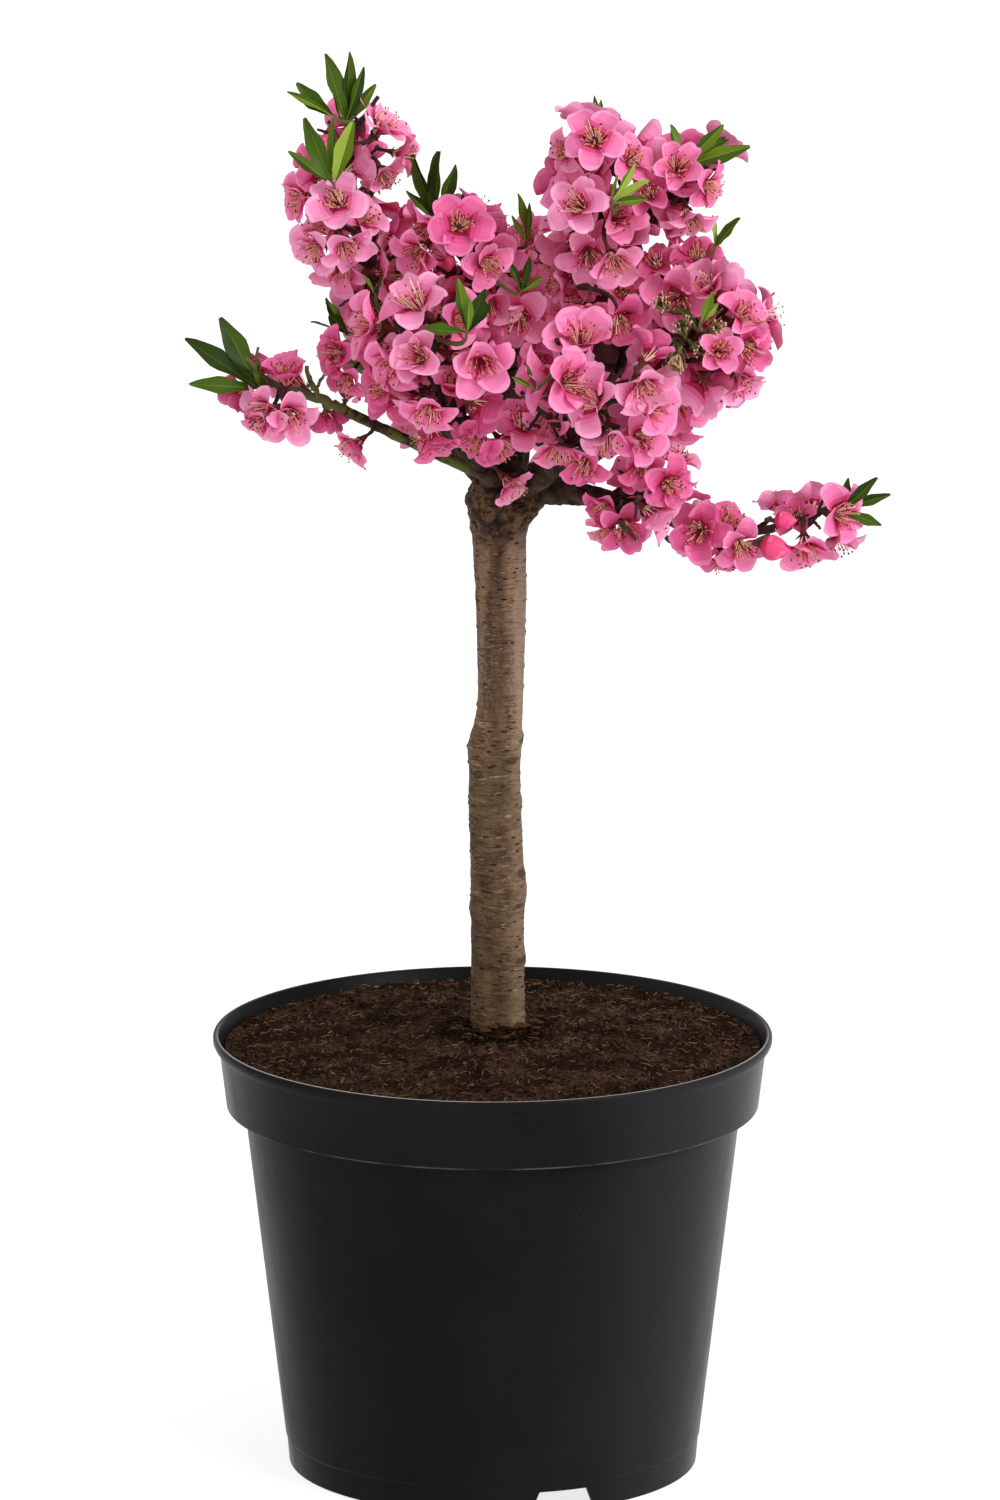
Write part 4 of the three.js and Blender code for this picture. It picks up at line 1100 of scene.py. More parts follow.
# Leafy shoots that stand out of the crown: the mass, where the shoot ends in mm, how bright its leaves
# are, and how far each leaf goes to the right and up in mm.
LEAFY_SHOOTS = [
    ("left", (-72, -10, 682), 1, ((3, 32), (13, 18))),
    ("left", (-72, -14, 683), 0, ((-7, 31), (9, 24))),
    ("left", (-77, -24, 688), 1, ((-19, 12), (-16, 14), (-15, 9))),
    ("left", (-75, -6, 684), 2, ((-1, 17),)),
    ("left", (-77, -50, 659), 1, ((8, 27),)),
    ("left", (-78, -48, 659), 0, ((-18, 14),)),
    ("left", (-77, -54, 659), 0, ((-13, 29),)),
    ("left", (-77, -46, 661), 2, ((-2, 26),)),
    ("centre", (-28, -14, 636), 1, ((-10, 28), (9, 23))),
    ("centre", (-28, -18, 637), 0, ((1, 29), (-12, 12))),
    ("centre", (17, -14, 624), 0, ((-3, 21), (1, 17), (-6, 11))),
    ("centre", (14, -34, 603), 0, ((-4, 12), (4, 14), (8, 6))),
    ("left", (-57, -44, 603), 0, ((-4, 8), (3, 9))),
    ("front_left", (-12, -98, 594), 0, ((-4, 23), (7, 19), (9, 13))),
    ("front_left", (-12, -102, 595), 1, ((-18, 2), (1, 14))),
    ("low_left", (-113, -40, 555), 1, ((-33, 24),)),
    ("low_left", (-114, -38, 556), 0, ((-17, 31), (-1, 11), (-31, 4))),
    ("right", (52, -8, 683), 1, ((-2, 10), (1, 8))),
    ("right", (58, -56, 651), 2, ((15, 9), (10, 16))),
    ("right", (58, -58, 651), 1, ((2, 11), (14, 3))),
    ("high_right", (93, -12, 662), 1, ((18, 17), (29, 9))),
    ("high_right", (92, -10, 663), 0, ((-3, 16), (22, 12))),
    ("side_right", (109, -10, 621), 1, ((0, 13), (10, 14), (5, 7))),
    ("side_right", (101, -62, 592), 3, ((5, 15), (7, 9))),
    ("side_right", (101, -60, 591), 1, ((-10, 9),)),
    ("low_right", (172, -38, 495), 1, ((14, 16), (16, -5))),
    ("low_right", (173, -32, 495), 0, ((1, 13), (19, 7))),
    ("front_right", (20, -92, 566), 1, ((-8, 5), (-2, 9))),
    ("under_right", (83, -42, 487), 0, ((3, -5),)),
]
LEAVES_SHOW = 11
# Where the crown is open: the middle of each gap, to the right and up in mm, and how far flowers keep off.
# A gap is as seen from the front, slightly from above.
GAPS = [
    (-99, 679, 20), (57, 559, 13), (-82, 591, 20), (118, 642, 14), (126, 605, 16), (-75, 688, 12),
    (124, 666, 10), (148, 567, 10), (53, 549, 12), (104, 538, 12), (102, 518, 12), (33, 691, 12),
    (87, 467, 11), (-111, 573, 12), (-79, 550, 12), (-60, 538, 13), (-92, 606, 9), (103, 488, 9),
    (132, 491, 10), (25, 504, 14), (12, 508, 8),
]
SEEN_TILT = 0.223


def seen(point):
    return np.array((point[0], point[2] + SEEN_TILT * point[1]))


def in_the_way(flower):
    """True for a flower in a gap of the crown, or in front of a leafy shoot or of a single flower."""
    here, depth = seen(flower.throat), flower.throat[1]
    if any(math.dist(here, gap[:2]) < gap[2] for gap in GAPS):
        return True
    for name, base, bright, leaves in LEAFY_SHOOTS:
        for right, up in leaves:
            middle = np.array(base) + (0.6 * right, 0, 0.6 * up)
            if depth < middle[1] + 8 and math.dist(here, seen(middle)) < LEAVES_SHOW:
                return True
    for other in lone:
        if depth < other.throat[1] + 6 and math.dist(here, seen(other.throat)) < 0.85 * other.radius:
            return True
    return False


def seats_of(arm, shoot):
    """Where flowers sit along a shoot, as shares of its length."""
    if shoot.order == 1:
        return [TIP_SEAT - 0.6 * i / TWIG_SEATS for i in range(TWIG_SEATS)]
    if shoot.order == 2:
        return [TIP_SEAT - 0.5 * i / FINE_SEATS for i in range(FINE_SEATS)]
    count = round(shoot.curve.length() / (arm.step * FINER_STEP))
    return [0.04 + 0.86 * (i + 0.5) / count for i in range(count)]


def outward(flower):
    return unit(np.array(HANGING.get(flower.arm, flower.throat - CROWN_HEART), float))


def room_of(flower, placed):
    """The distance to the nearest flower, as a share of their two radii."""
    gaps = np.linalg.norm(np.array([other.throat for other in placed]) - flower.throat, axis=1)
    return float((gaps / (np.array([other.radius for other in placed]) + flower.radius)).min())


def keeps_inside(arm, flower):
    corners = flower.room_points()
    too_high = corners[:, 2].max() > TOP_OF.get(arm.name, 999)
    return not too_high and in_space(arm, corners, -MARGIN_OF.get(arm.name, MARGIN))


def flowers_of(arm, shoot, placed):
    """Each flower is turned round the shoot to where it has most room and faces out, or is skipped."""
    roll = dice(arm.seed, shoot.number)
    turn = roll() * 2 * math.pi
    least_room = CROWDING_OF.get(arm.name, CROWDING)
    found = []
    for seat in seats_of(arm, shoot):
        turn += GOLDEN_TURN
        at = shoot.curve.frame(seat)
        at_tip = seat == TIP_SEAT
        best, best_score = None, -9
        for k in range(TRIES):
            lean = 1.4 - 0.1 * k if at_tip else between(LEAN, roll())
            way = leaning(at, turn + 0.9 * k + 0.5 * roll(), lean)
            stand = between(shoot.radii, seat) + between(STALK, roll()) * (0.5 if at_tip else 1)
            radius = BLOSSOM_RADIUS * (0.85 + 0.3 * roll())
            spin = roll() * 2 * math.pi
            flower = Flower(arm.name, at[0], way, stand, radius, spin, int(roll() * 2**31))
            room = room_of(flower, placed)
            score = min(room, ROOM_ENOUGH) + FACING * float(flower.way @ outward(flower))
            if room < least_room or score < best_score or in_the_way(flower):
                continue
            if keeps_inside(arm, flower):
                best, best_score = flower, score
        if best is not None:
            placed.append(best)
            found.append(best)
    return found


BUD_SHARE = 0.04
WITHERED_SPOT = np.array((98, -44, 588))
WITHERED_REACH = 19
grown = []
for arm in arms:
    placed = list(lone)
    for shoot in reversed(shoots[arm.name]):
        grown.extend(flowers_of(arm, shoot, placed))
flowers, buds, withered = [], [], []
for flower in lone + grown:
    seeded = flower.tone is None
    over = seeded and np.linalg.norm(flower.throat - WITHERED_SPOT) < WITHERED_REACH
    if over or flower.tone == WITHERED:
        withered.append(flower)
    elif flower.tone == BUD or seeded and flower.dice.random() < BUD_SHARE:
        buds.append(flower)
    else:
        flowers.append(flower)

PETAL_COLUMNS = 8
PETAL_ROWS = 7
grid_u, grid_v = np.meshgrid(np.linspace(-1, 1, PETAL_COLUMNS + 1), np.linspace(-1, 1, PETAL_ROWS + 1))
disc_x = grid_u * np.sqrt(1 - grid_v**2 / 2)
disc_y = grid_v * np.sqrt(1 - grid_u**2 / 2)


def sheet_faces(rows, columns):
    """Quads of an open grid of rows by columns of points, facing up."""
    faces = []
    for row in range(rows - 1):
        for column in range(columns - 1):
            here = row * columns + column
            faces.append((here, here + columns, here + columns + 1, here + 1))
    return faces


PETAL_FACES = sheet_faces(PETAL_ROWS + 1, PETAL_COLUMNS + 1)
ZONES = 6


def petal_zones():
    """Which tone each face of a petal has: 0 in the throat, 4 further out, and 5 along the margin."""
    zones = []
    for face in PETAL_FACES:
        x = disc_x.ravel()[list(face)].mean()
        y = disc_y.ravel()[list(face)].mean()
        zone = int(np.searchsorted((-0.66, -0.4, -0.1, 0.25), y))
        zones.append(5 if y > -0.2 and math.hypot(x, y) > 0.84 else zone)
    return np.array(zones)


PETAL_ZONES = petal_zones()


def petal(flower, turn, near_angle, far_angle, length, width, cup, stagger):
    """A petal that leaves the throat at one slope and ends at another, cupped across and a little wavy."""
    roll = flower.dice
    share = 0.06 + 0.94 * (disc_y + 1) / 2
    slope = near_angle + (far_angle - near_angle) * share
    bend = far_angle - near_angle
    reach = length * (np.sin(slope) - math.sin(near_angle)) / bend
    rise = length * (math.cos(near_angle) - np.cos(slope)) / bend
    narrow = 0.15 + 0.85 * np.clip((disc_y + 1) / 0.9, 0, 1) ** 0.85
    aside = width * disc_x * narrow
    rim = np.hypot(disc_x, disc_y)
    wave = 0.05 * rim**3 * np.sin(3 * np.arctan2(disc_x, disc_y) + roll.random() * 6.3)
    wave += 0.02 * rim**4 * np.sin(7 * np.arctan2(disc_x, disc_y) + roll.random() * 6.3)
    lift = (cup * disc_x**2 * narrow + wave + (roll.random() - 0.5) * 0.16 * disc_x) * length
    dent = 0.05 * np.exp(-((disc_x / 0.16) ** 2)) * np.clip(disc_y, 0, 1) ** 3 * (roll.random() < 0.6)
    reach = reach - np.sin(slope) * lift - dent * length
    rise = rise + np.cos(slope) * lift + stagger
    x = reach * math.cos(turn) - aside * math.sin(turn)
    y = reach * math.sin(turn) + aside * math.cos(turn)
    return np.stack([x, y, rise], axis=-1).reshape(-1, 3)


# How many of the flowers are pale, middling and deep, and the masses where that differs. The centre lies in
# the shade of the masses round it, and its extra pale flowers are painted light that lifts that shade.
TONE_SHARE = (0.34, 0.42, 0.24)
TONE_SHARES = {
    "left": (0.64, 0.30, 0.06), "right": (0.50, 0.36, 0.14), "high_right": (0.5, 0.36, 0.14),
    "front_left": (0.24, 0.44, 0.32), "centre": (0.58, 0.34, 0.08),
}


def petals_of(flower):
    """The five petals, each with its own turn and slope, as parts of one mesh."""
    roll = flower.dice
    opened = roll.random() ** 0.6
    if flower.tone is not None:
        opened = 0.35 + 0.6 * opened
    near, far = between((1.15, 0.65), opened), between((0.60, -0.25), opened)
    base = 0.06 + roll.random() * 0.16
    broad = 0.335 + 0.12 * roll.random()
    tone = int(roll.choice(3, p=TONE_SHARES.get(flower.arm, TONE_SHARE)))
    if flower.tone is not None:
        tone = flower.tone
    parts = []
    for k in range(PETALS):
        turn = flower.spin + k * 2 * math.pi / PETALS + (roll.random() - 0.5) * 0.32
        first = near + (roll.random() - 0.5) * 0.34
        last = far + (roll.random() - 0.5) * 0.75
        length = flower.radius * (1.12 + 0.2 * (roll.random() - 0.5))
        width = flower.radius * (broad + 0.07 * roll.random())
        cup = base + 0.18 * roll.random()
        stagger = flower.radius * (0.0, 0.05, 0.02, 0.06, 0.03)[k]
        points = petal(flower, turn, first, min(last, first - 0.1), length, width, cup, stagger)
        parts.append((flower.out(points), PETAL_FACES, PETAL_ZONES + ZONES * tone))
    return parts


def halves(things):
    """What stands in the front of the crown and what stands behind."""
    front = [thing for thing in things if thing.throat[1] < -12]
    back = [thing for thing in things if thing.throat[1] >= -12]
    return (("front", front), ("back", back))


PETAL_TONES = {  # the throat, four zones outwards, and the margin
    "pale": (
        (0.065, 0.005, 0.008), (0.29, 0.018, 0.062), (0.61, 0.124, 0.275),
        (0.71, 0.212, 0.400), (0.735, 0.256, 0.450), (0.78, 0.345, 0.54),
    ),
    "middle": (
        (0.060, 0.004, 0.007), (0.27, 0.012, 0.050), (0.57, 0.082, 0.212),
        (0.68, 0.146, 0.325), (0.705, 0.184, 0.376), (0.75, 0.262, 0.462),
    ),
    "deep": (
        (0.060, 0.004, 0.007), (0.27, 0.012, 0.048), (0.53, 0.060, 0.185),
        (0.58, 0.084, 0.232), (0.605, 0.112, 0.272), (0.66, 0.172, 0.352),
    ),
}
# Painted light: a petal lets light through, and that light is a faint red glow of the petal's own here,
# which also lifts the petals in shade.
GLOW = {"Emission_Color": (1, 0.03, 0.13, 1), "Emission_Strength": 0.066}
petal_finishes = [
    Finish(f"petal_{name}_{zone}", tone, 0.7, Specular_IOR_Level=0.08, **GLOW)
    for name, tones in PETAL_TONES.items()
    for zone, tone in enumerate(tones)
]
for side, some in halves(flowers):
    petals = joined("petals_" + side, [part for flower in some for part in petals_of(flower)])
    smoothed(petals, 80)
    dress(petals, *petal_finishes)
    stand_for_masses(petals)

# ---------------------------------------------------------------------------------- cups and stamens
# Behind the petals a short spur ends in a dark red cup with five sepals. Out of the throat stand some two
# dozen fine pink stamens, each with a tan anther at its tip.
STAMENS = 28
FILAMENT = 0.21
ANTHER = 0.52
ANTHER_POINTS = np.array([(0, 0, 1.3), (1, 0, 0), (0, 1, 0), (-1, 0, 0), (0, -1, 0), (0, 0, -1.3)])
ANTHER_FACES = [(0, 1, 2), (0, 2, 3), (0, 3, 4), (0, 4, 1), (5, 2, 1), (5, 3, 2), (5, 4, 3), (5, 1, 4)]


def stamens_of(flower, count=STAMENS):
    """Filaments of three sides that splay out of the throat, each with its anther."""
    roll = flower.dice
    parts = []
    for k in range(count):
        turn = k * GOLDEN_TURN + roll.random() * 0.6
        splay = 0.06 + 0.52 * math.sqrt((k + 0.5) / count) * (0.7 + 0.6 * roll.random())
        length = flower.radius * (0.40 + 0.52 * roll.random() ** 0.8)
        root = 0.07 * flower.radius
        points = []
        for share, lean in ((0, 0.7), (0.5, 1.0), (1, 0.85)):
            away = root + length * share * math.sin(splay * lean)
            rise = length * share * math.cos(splay * lean)
            points.append((away * math.cos(turn), away * math.sin(turn), rise))
        line = flower.out(points)
        ring, faces = tube(line, (FILAMENT * 1.15, FILAMENT, FILAMENT * 0.8), 3)
        parts.append((ring, faces[:-2], 0 if roll.random() < 0.6 else 1))
        size = ANTHER * (0.8 + 0.4 * roll.random())
        grain = ANTHER_POINTS * size
        parts.append((line[-1] + grain, ANTHER_FACES, 2 if roll.random() < 0.6 else 3))
    return parts


CUP_SIDES = 6
SPUR_SCALES = 3


def around(turn):
    """Two directions across a flower's axis at that turn: outwards, and along the round."""
    away = np.array((math.cos(turn), math.sin(turn), 0))
    side = np.array((-math.sin(turn), math.cos(turn), 0))
    return away, side


def sepal(size, turn, long):
    away, side = around(turn)
    points = np.array([
        away * 0.1 * size - side * 0.08 * size, away * 0.1 * size + side * 0.08 * size,
        away * 0.6 * long + side * 0.085 * size, away * 0.6 * long - side * 0.085 * size, away * long,
    ])
    points[:, 2] += np.array((-0.06, -0.06, 0.0, 0.0, 0.09)) * size
    return points


def bud_scale(turn, low, long):
    away, side = around(turn)
    points = [away * 0.7 - side * 0.7, away * 0.7 + side * 0.7, away * (1.0 + 0.3 * long), away * 0.2]
    points = np.array(points)
    points[:, 2] = (low, low, low + long, low + 0.6 * long)
    return points


def cup_of(flower):
    """A spur and a cup, then five sepals that lie against the petals, and the floor of the throat."""
    roll, size, stand = flower.dice, flower.radius, flower.stand
    waist = -0.8 * stand if stand < 0.66 * size else -0.62 * size
    line = flower.axis(-stand, waist, -0.3 * size, -0.1 * size, 0.02 * size)
    ring, faces = tube(line, (1.0, 0.8, 0.06 * size, 0.115 * size, 0.13 * size), CUP_SIDES)
    parts = [(ring, faces[:2 * CUP_SIDES], 1), (ring, faces[2 * CUP_SIDES:], 0)]
    for k in range(PETALS):
        turn = flower.spin + (k + 0.5) * 2 * math.pi / PETALS
        points = sepal(size, turn, size * (0.24 + 0.06 * roll.random()))
        parts.append((flower.out(points), [(0, 1, 2, 3), (3, 2, 4)], 2))
    for k in range(SPUR_SCALES):
        turn = k * GOLDEN_TURN + roll.random()
        low = -stand * (0.15 + 0.75 * roll.random())
        points = bud_scale(turn, low, 1.2 + 1.4 * roll.random())
        parts.append((flower.out(points), [(0, 1, 2), (1, 3, 2), (3, 0, 2)], 1))
    turns = np.arange(8) * math.pi / 4
    floor = np.stack([0.13 * size * np.cos(turns), 0.13 * size * np.sin(turns), np.full(8, 0.1 * size)], 1)
    floor = np.concatenate([floor, [(0, 0, 0.04 * size)]])
    parts.append((flower.out(floor), [(k, (k + 1) % 8, 8) for k in range(8)], 3))
    return parts


stamen_finishes = [
    Finish("filament_pink", (0.80, 0.37, 0.33), 0.7, Specular_IOR_Level=0.1),
    Finish("filament_cream", (0.92, 0.71, 0.53), 0.7, Specular_IOR_Level=0.1),
    Finish("anther_tan", (0.52, 0.29, 0.11), 0.8, Specular_IOR_Level=0.2),
    Finish("anther_rust", (0.09, 0.035, 0.014), 0.8, Specular_IOR_Level=0.2),
]
cup_finishes = [
    Finish("cup_red", (0.13, 0.016, 0.014), 0.6, Specular_IOR_Level=0.3),
    Finish("spur_brown", (0.05, 0.024, 0.015), 0.8, Specular_IOR_Level=0.2),
    Finish("sepal", (0.16, 0.035, 0.022), 0.65, Specular_IOR_Level=0.3),
    Finish("throat_floor", (0.075, 0.038, 0.012), 0.7, Specular_IOR_Level=0.2),
]
for side, some in halves(flowers):
    stamens = joined("stamens_" + side, [part for flower in some for part in stamens_of(flower)])
    dress(stamens, *stamen_finishes)
    stand_for_masses(stamens)
cups = joined("cups", [part for flower in flowers for part in cup_of(flower)])
smoothed(cups, 60)
dress(cups, *cup_finishes)
stand_for_masses(cups)

# ---------------------------------------------------------------------------------- buds
# Fat buds about to open, hot pink, each in a dark red cup on a short spur, with furled petals that wrap
# round one another.
BUD_LENGTH = 14.5
BUD_SIDES = 10
BUD_ROWS = 8


def bud_tone(row, side):
    """Deep pink at the foot, with a light edge of petal that runs up round the bud."""
    if row < 2:
        return 1
    return 2 if (row + side) % 5 else 3


def bud_of(flower):
    roll = flower.dice
    plump, size, girth = (1.25, flower.radius / 15, 0.40) if flower.tone == BUD else (1, 1, 0.30)
    long = BUD_LENGTH * plump * (0.6 + 0.45 * roll.random()) * size
    share = np.linspace(0.02, 1, BUD_ROWS)
    girths = girth * long * np.sin(math.pi * share**0.66) ** 0.8 + 0.2
    turns = np.arange(BUD_SIDES) * 2 * math.pi / BUD_SIDES
    twist = turns[None] + 1.1 * share[:, None] + roll.random()
    fold = 1 + 0.12 * np.sin(2.5 * twist) * share[:, None]
    rings = np.stack([
        girths[:, None] * fold * np.cos(turns), girths[:, None] * fold * np.sin(turns),
        np.repeat(long * share[:, None], BUD_SIDES, 1) - 0.2 * long,
    ], axis=-1)
    tones = [bud_tone(row, side) for row in range(BUD_ROWS - 1) for side in range(BUD_SIDES)]
    parts = [(flower.out(rings.reshape(-1, 3)), grid_faces(BUD_ROWS, BUD_SIDES), tones + [1, 2])]
    line = flower.axis(-flower.stand, -0.35 * long, -0.12 * long, 0.1 * long, 0.28 * long)
    ring, faces = tube(line, (1.0, 0.9, 0.15 * long, 0.25 * long, 0.26 * long), CUP_SIDES)
    parts.append((ring, faces[:-2], 0))
    return parts


bud_piece = joined("buds", [part for flower in buds for part in bud_of(flower)])
smoothed(bud_piece, 70)
dress(
    bud_piece,
    Finish("bud_cup", (0.10, 0.014, 0.012), 0.6, Specular_IOR_Level=0.3),
    Finish("bud_deep", (0.56, 0.022, 0.10), 0.5, Specular_IOR_Level=0.3),
    Finish("bud_pink", (0.72, 0.052, 0.175), 0.5, Specular_IOR_Level=0.3),
    Finish("bud_light", (0.80, 0.12, 0.29), 0.5, Specular_IOR_Level=0.3),
)
stand_for_masses(bud_piece)

# ---------------------------------------------------------------------------------- leaves
# Young narrow leaves, folded along a paler midrib and curved back at the tip. They open in tufts at the
# ends of the stems and of some twigs.
LEAF_LENGTH = 36
LEAF_WIDTH = 10.2
LEAF_ROWS = 10
LEAF_FACES = sheet_faces(LEAF_ROWS + 1, 4)
LEAF_ROOT = 1.5
# The four leaf tones, and the midrib tones with them, run from a leaf in shade to a leaf in full light:
# partly painted light and shade, partly a real difference of tone between leaves.
LEAF_TONES = ((0.017, 0.041, 0.001), (0.046, 0.088, 0.002), (0.110, 0.175, 0.006), (0.27, 0.37, 0.04))
RIB_TONES = ((0.05, 0.095, 0.006), (0.10, 0.165, 0.015), (0.19, 0.28, 0.04), (0.38, 0.50, 0.12))
RIB = len(LEAF_TONES)
TUFT_SPREAD = 0.46
TUFT_TWIGS = 4


def leaf(point, way, normal, length, width, fold, curl, tone):
    """A blade of three strips, two halves and the midrib between them, widest beyond its middle."""
    side = unit(np.cross(way, normal))
    face = np.cross(side, way)
    share = np.linspace(0, 1, LEAF_ROWS + 1)
    outline = np.sin(math.pi * np.clip(share, 0.03, 0.975) ** 1.2) ** 0.75
    half = 0.5 * width * outline * (1 + 0.1 * np.sin(15 * share + 9 * curl))
    rib = 0.3 * (1 - 0.75 * share)
    rows = []
    for j, s in enumerate(share):
        middle = point + way * length * s * (1 - 0.1 * abs(curl) * s) + face * length * curl * s**2
        up = fold * half[j] * (1 - 0.5 * s) + 0.12 * width * math.sin(9 * s + 7 * curl)
        rows.append(middle - side * half[j] + face * up)
        rows.append(middle - side * rib[j])
        rows.append(middle + side * rib[j])
        rows.append(middle + side * half[j] + face * (up - 0.14 * width * math.sin(8 * s + 11 * curl)))
    # Painted shade: on most leaves one half of the folded blade takes the next darker tone, as if the light
    # fell on the other half.
    painted_shade_tone = max(0, tone - 1)
    near, far = ((tone, painted_shade_tone), (painted_shade_tone, tone), (tone, tone))[int(curl * 1000) % 3]
    return np.array(rows), LEAF_FACES, [near, tone + RIB, far] * LEAF_ROWS


def tuft(point, along, count, size, roll, bright=0):
    """Leaves round the tip of a shoot, the first one straight on."""
    guide = np.array((0.0, 1.0, 0.0) if abs(along[2]) > 0.75 else (0.0, 0.0, 1.0))
    across = unit(np.cross(guide, along))
    out = np.cross(across, along)
    start = roll() * 2 * math.pi
    leaves = []
    for i in range(count):
        spread = 0.12 if i == 0 else TUFT_SPREAD * (0.45 + 0.9 * roll())
        turn = start + i * GOLDEN_TURN
        aside = across * math.cos(turn) + out * math.sin(turn)
        way = unit(along * math.cos(spread) + aside * math.sin(spread))
        length = LEAF_LENGTH * size * (0.6 + 0.4 * roll() ** 0.7)
        width = LEAF_WIDTH * (0.45 + 0.55 * size) * (0.75 + 0.3 * roll())
        normal = unit(along - way * float(along @ way) * 0.9 + across * (0.5 * (roll() - 0.5)))
        curl = 0.25 * roll() - 0.05
        tone = min(3, int(roll() * 2.6) + min(bright, 2) // 2 + (roll() < 0.4 * bright))
        leaves.append(leaf(point - along * LEAF_ROOT, way, normal, length, width, 0.5, -curl, tone))
    return leaves


def tufts_of(arm):
    """A tuft at the top of the stem, and smaller ones at the tips of some twigs."""
    point, along, across, out = arm.stem.frame(1.0)
    leaves = tuft(point, along, arm.leaves + 2, 0.95, dice(arm.seed, 50), 1)
    for shoot in shoots[arm.name]:
        if shoot.order == 1 and shoot.number % TUFT_TWIGS == 1:
            point, along, across, out = shoot.curve.frame(1.0)
            upward = unit(along + (0, 0, 0.6))
            leaves.extend(tuft(point, upward, 4, 0.62, dice(arm.seed, 400 + shoot.number)))
    return leaves


def tip_leaf(base, right, up, bright, roll):
    """A leaf of a leafy shoot, that far to the right and up."""
    long = math.hypot(right, up)
    way = unit(np.array((right, (0.5 * roll() - 0.35) * long, up)))
    facing = unit(np.array((2.0 * (roll() - 0.5), -1.0, 0.2 + 0.7 * roll())))
    width = LEAF_WIDTH * (0.08 + 0.025 * long) * (0.65 + 0.55 * roll())
    tone = min(3, int(roll() * 2.4) + (bright > 1) + (roll() < 0.3 + 0.3 * bright))
    start = base + way * 1.0 - (0, 0, LEAF_ROOT)
    return leaf(start, way, facing, 1.06 * long + 1.5, width, 0.75, 0.2 * roll() - 0.2, tone)


leafy_arms = {name for name, *_ in LEAFY_SHOOTS}
leaves = [blade for arm in arms if arm.name not in leafy_arms for blade in tufts_of(arm)]
for number, (name, base, bright, tips) in enumerate(LEAFY_SHOOTS):
    base, roll = np.array(base, float), dice(7, number)
    line = side_line(name, base, np.array((0.0, 0.0, 1.0)))
    side_wood.append((*tube(line.point(np.linspace(0, 1, 6)), np.linspace(1.2, 0.8, 6), 5), YOUNG_WOOD))
    leaves.extend(tip_leaf(base, right, up, bright, roll) for right, up in tips)
side_shoots = joined("side_shoots", side_wood)
dress(side_shoots, *twig_finishes)
stand_for_masses(side_shoots)
leaf_piece = joined("leaves", leaves)
smoothed(leaf_piece, 50)
dress(leaf_piece, *[
    Finish(f"{part}_{k}", tone, 0.42, Specular_IOR_Level=0.16)
    for part, tones in (("leaf", LEAF_TONES), ("midrib", RIB_TONES))
    for k, tone in enumerate(tones)
])
stand_for_masses(leaf_piece)

# ---------------------------------------------------------------------------------- withered flowers
# At the end of the right hand bough some flowers are over. Their petals have shrunk to brown crumples,
# and dry stamens and grey green fruit skins are left.


def husk_of(flower):
    roll = flower.dice
    parts = []
    for k in range(PETALS):
        turn = flower.spin + k * 2 * math.pi / PETALS
        length = flower.radius * (0.45 + 0.3 * roll.random())
        shrunk = petal(flower, turn, 1.35, 0.9, length, flower.radius * 0.2, 0.5, 0.0)
        shrunk = shrunk + 0.9 * (roll.random(shrunk.shape) - 0.5)
        parts.append((flower.out(shrunk), PETAL_FACES, int(roll.integers(0, 3))))
    parts.extend((points, faces, 3) for points, faces, _ in stamens_of(flower, 14))
    parts.extend((points, faces, 2) for points, faces, _ in cup_of(flower))
    return parts


husk_piece = joined("withered_flowers", [part for flower in withered for part in husk_of(flower)])
dress(
    husk_piece,
    Finish("husk_tan", (0.44, 0.26, 0.15), 0.9, Specular_IOR_Level=0.1),
    Finish("husk_brown", (0.12, 0.06, 0.03), 0.9, Specular_IOR_Level=0.1),
    Finish("husk_olive", (0.15, 0.15, 0.045), 0.9, Specular_IOR_Level=0.1),
    Finish("husk_straw", (0.60, 0.44, 0.26), 0.9, Specular_IOR_Level=0.1),
)
stand_for_masses(husk_piece)

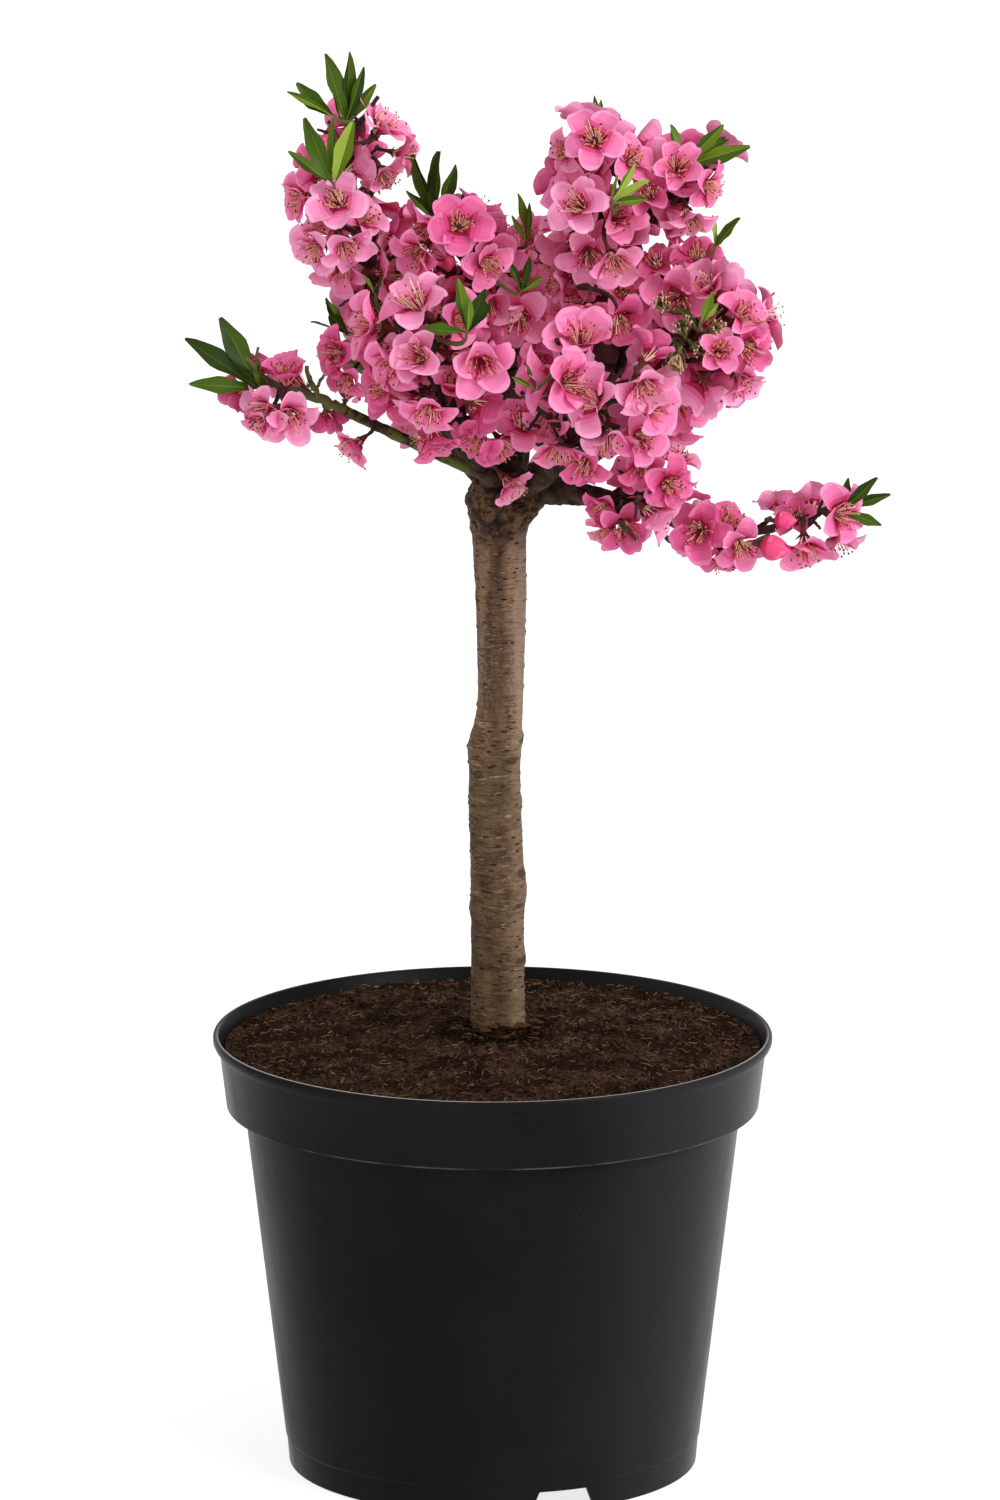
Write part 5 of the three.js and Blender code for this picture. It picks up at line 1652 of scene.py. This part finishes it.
# ---------------------------------------------------------------------------------- studio
# A plain white floor in a white room, with one large soft light from the right and a long lens that
# looks down a little.
TARGET = Vector((0.0037, 0, 0.3648))
PITCH = math.radians(12.58)
CAMERA_DISTANCE = 5.0
LENS = 241.4
SENSOR = 36
FLOOR_SIZE = 40
FLOOR_LEVEL = -0.6 * MM
ROOM_LIGHT = 0.82
WINDOW_LIGHT = 2.0
WINDOW_WIDTH = math.radians(35)
bpy.ops.object.select_all(action="DESELECT")
bpy.ops.mesh.primitive_plane_add(size=FLOOR_SIZE, location=(0, 0, FLOOR_LEVEL))
floor = bpy.context.object
floor.name = "floor"
paper = Finish("floor", (0.95, 0.95, 0.95), 0.9, Specular_IOR_Level=0, Emission_Strength=0.8)
paper.set("Base Color", paper.mix(paper.noise(0.6, 2), (0.30, 0.30, 0.30), (0.32, 0.32, 0.32)))
paper.set("Emission Color", (1, 1, 1, 1))
dress(floor, paper)

world = bpy.data.worlds.new("white_room")
bpy.context.scene.world = world
world.use_nodes = True
world.node_tree.nodes["Background"].inputs["Color"].default_value = (1, 1, 1, 1)
world.node_tree.nodes["Background"].inputs["Strength"].default_value = ROOM_LIGHT

sun = bpy.data.lights.new("window", "SUN")
sun.angle = WINDOW_WIDTH
sun.energy = WINDOW_LIGHT
window = bpy.data.objects.new("window", sun)
window.rotation_euler = Vector((-0.64, 0.54, -0.52)).to_track_quat("-Z", "Y").to_euler()
bpy.context.scene.collection.objects.link(window)

camera_data = bpy.data.cameras.new("camera")
camera_data.sensor_fit = "VERTICAL"
camera_data.sensor_width = SENSOR
camera_data.sensor_height = SENSOR
camera_data.lens = LENS
camera_data.clip_end = 100
camera = bpy.data.objects.new("camera", camera_data)
camera.location = TARGET + Vector((0, -math.cos(PITCH), math.sin(PITCH))) * CAMERA_DISTANCE
camera.rotation_euler = (math.pi / 2 - PITCH, 0, 0)
bpy.context.scene.collection.objects.link(camera)
bpy.context.scene.camera = camera
bpy.context.scene.view_settings.view_transform = "Standard"
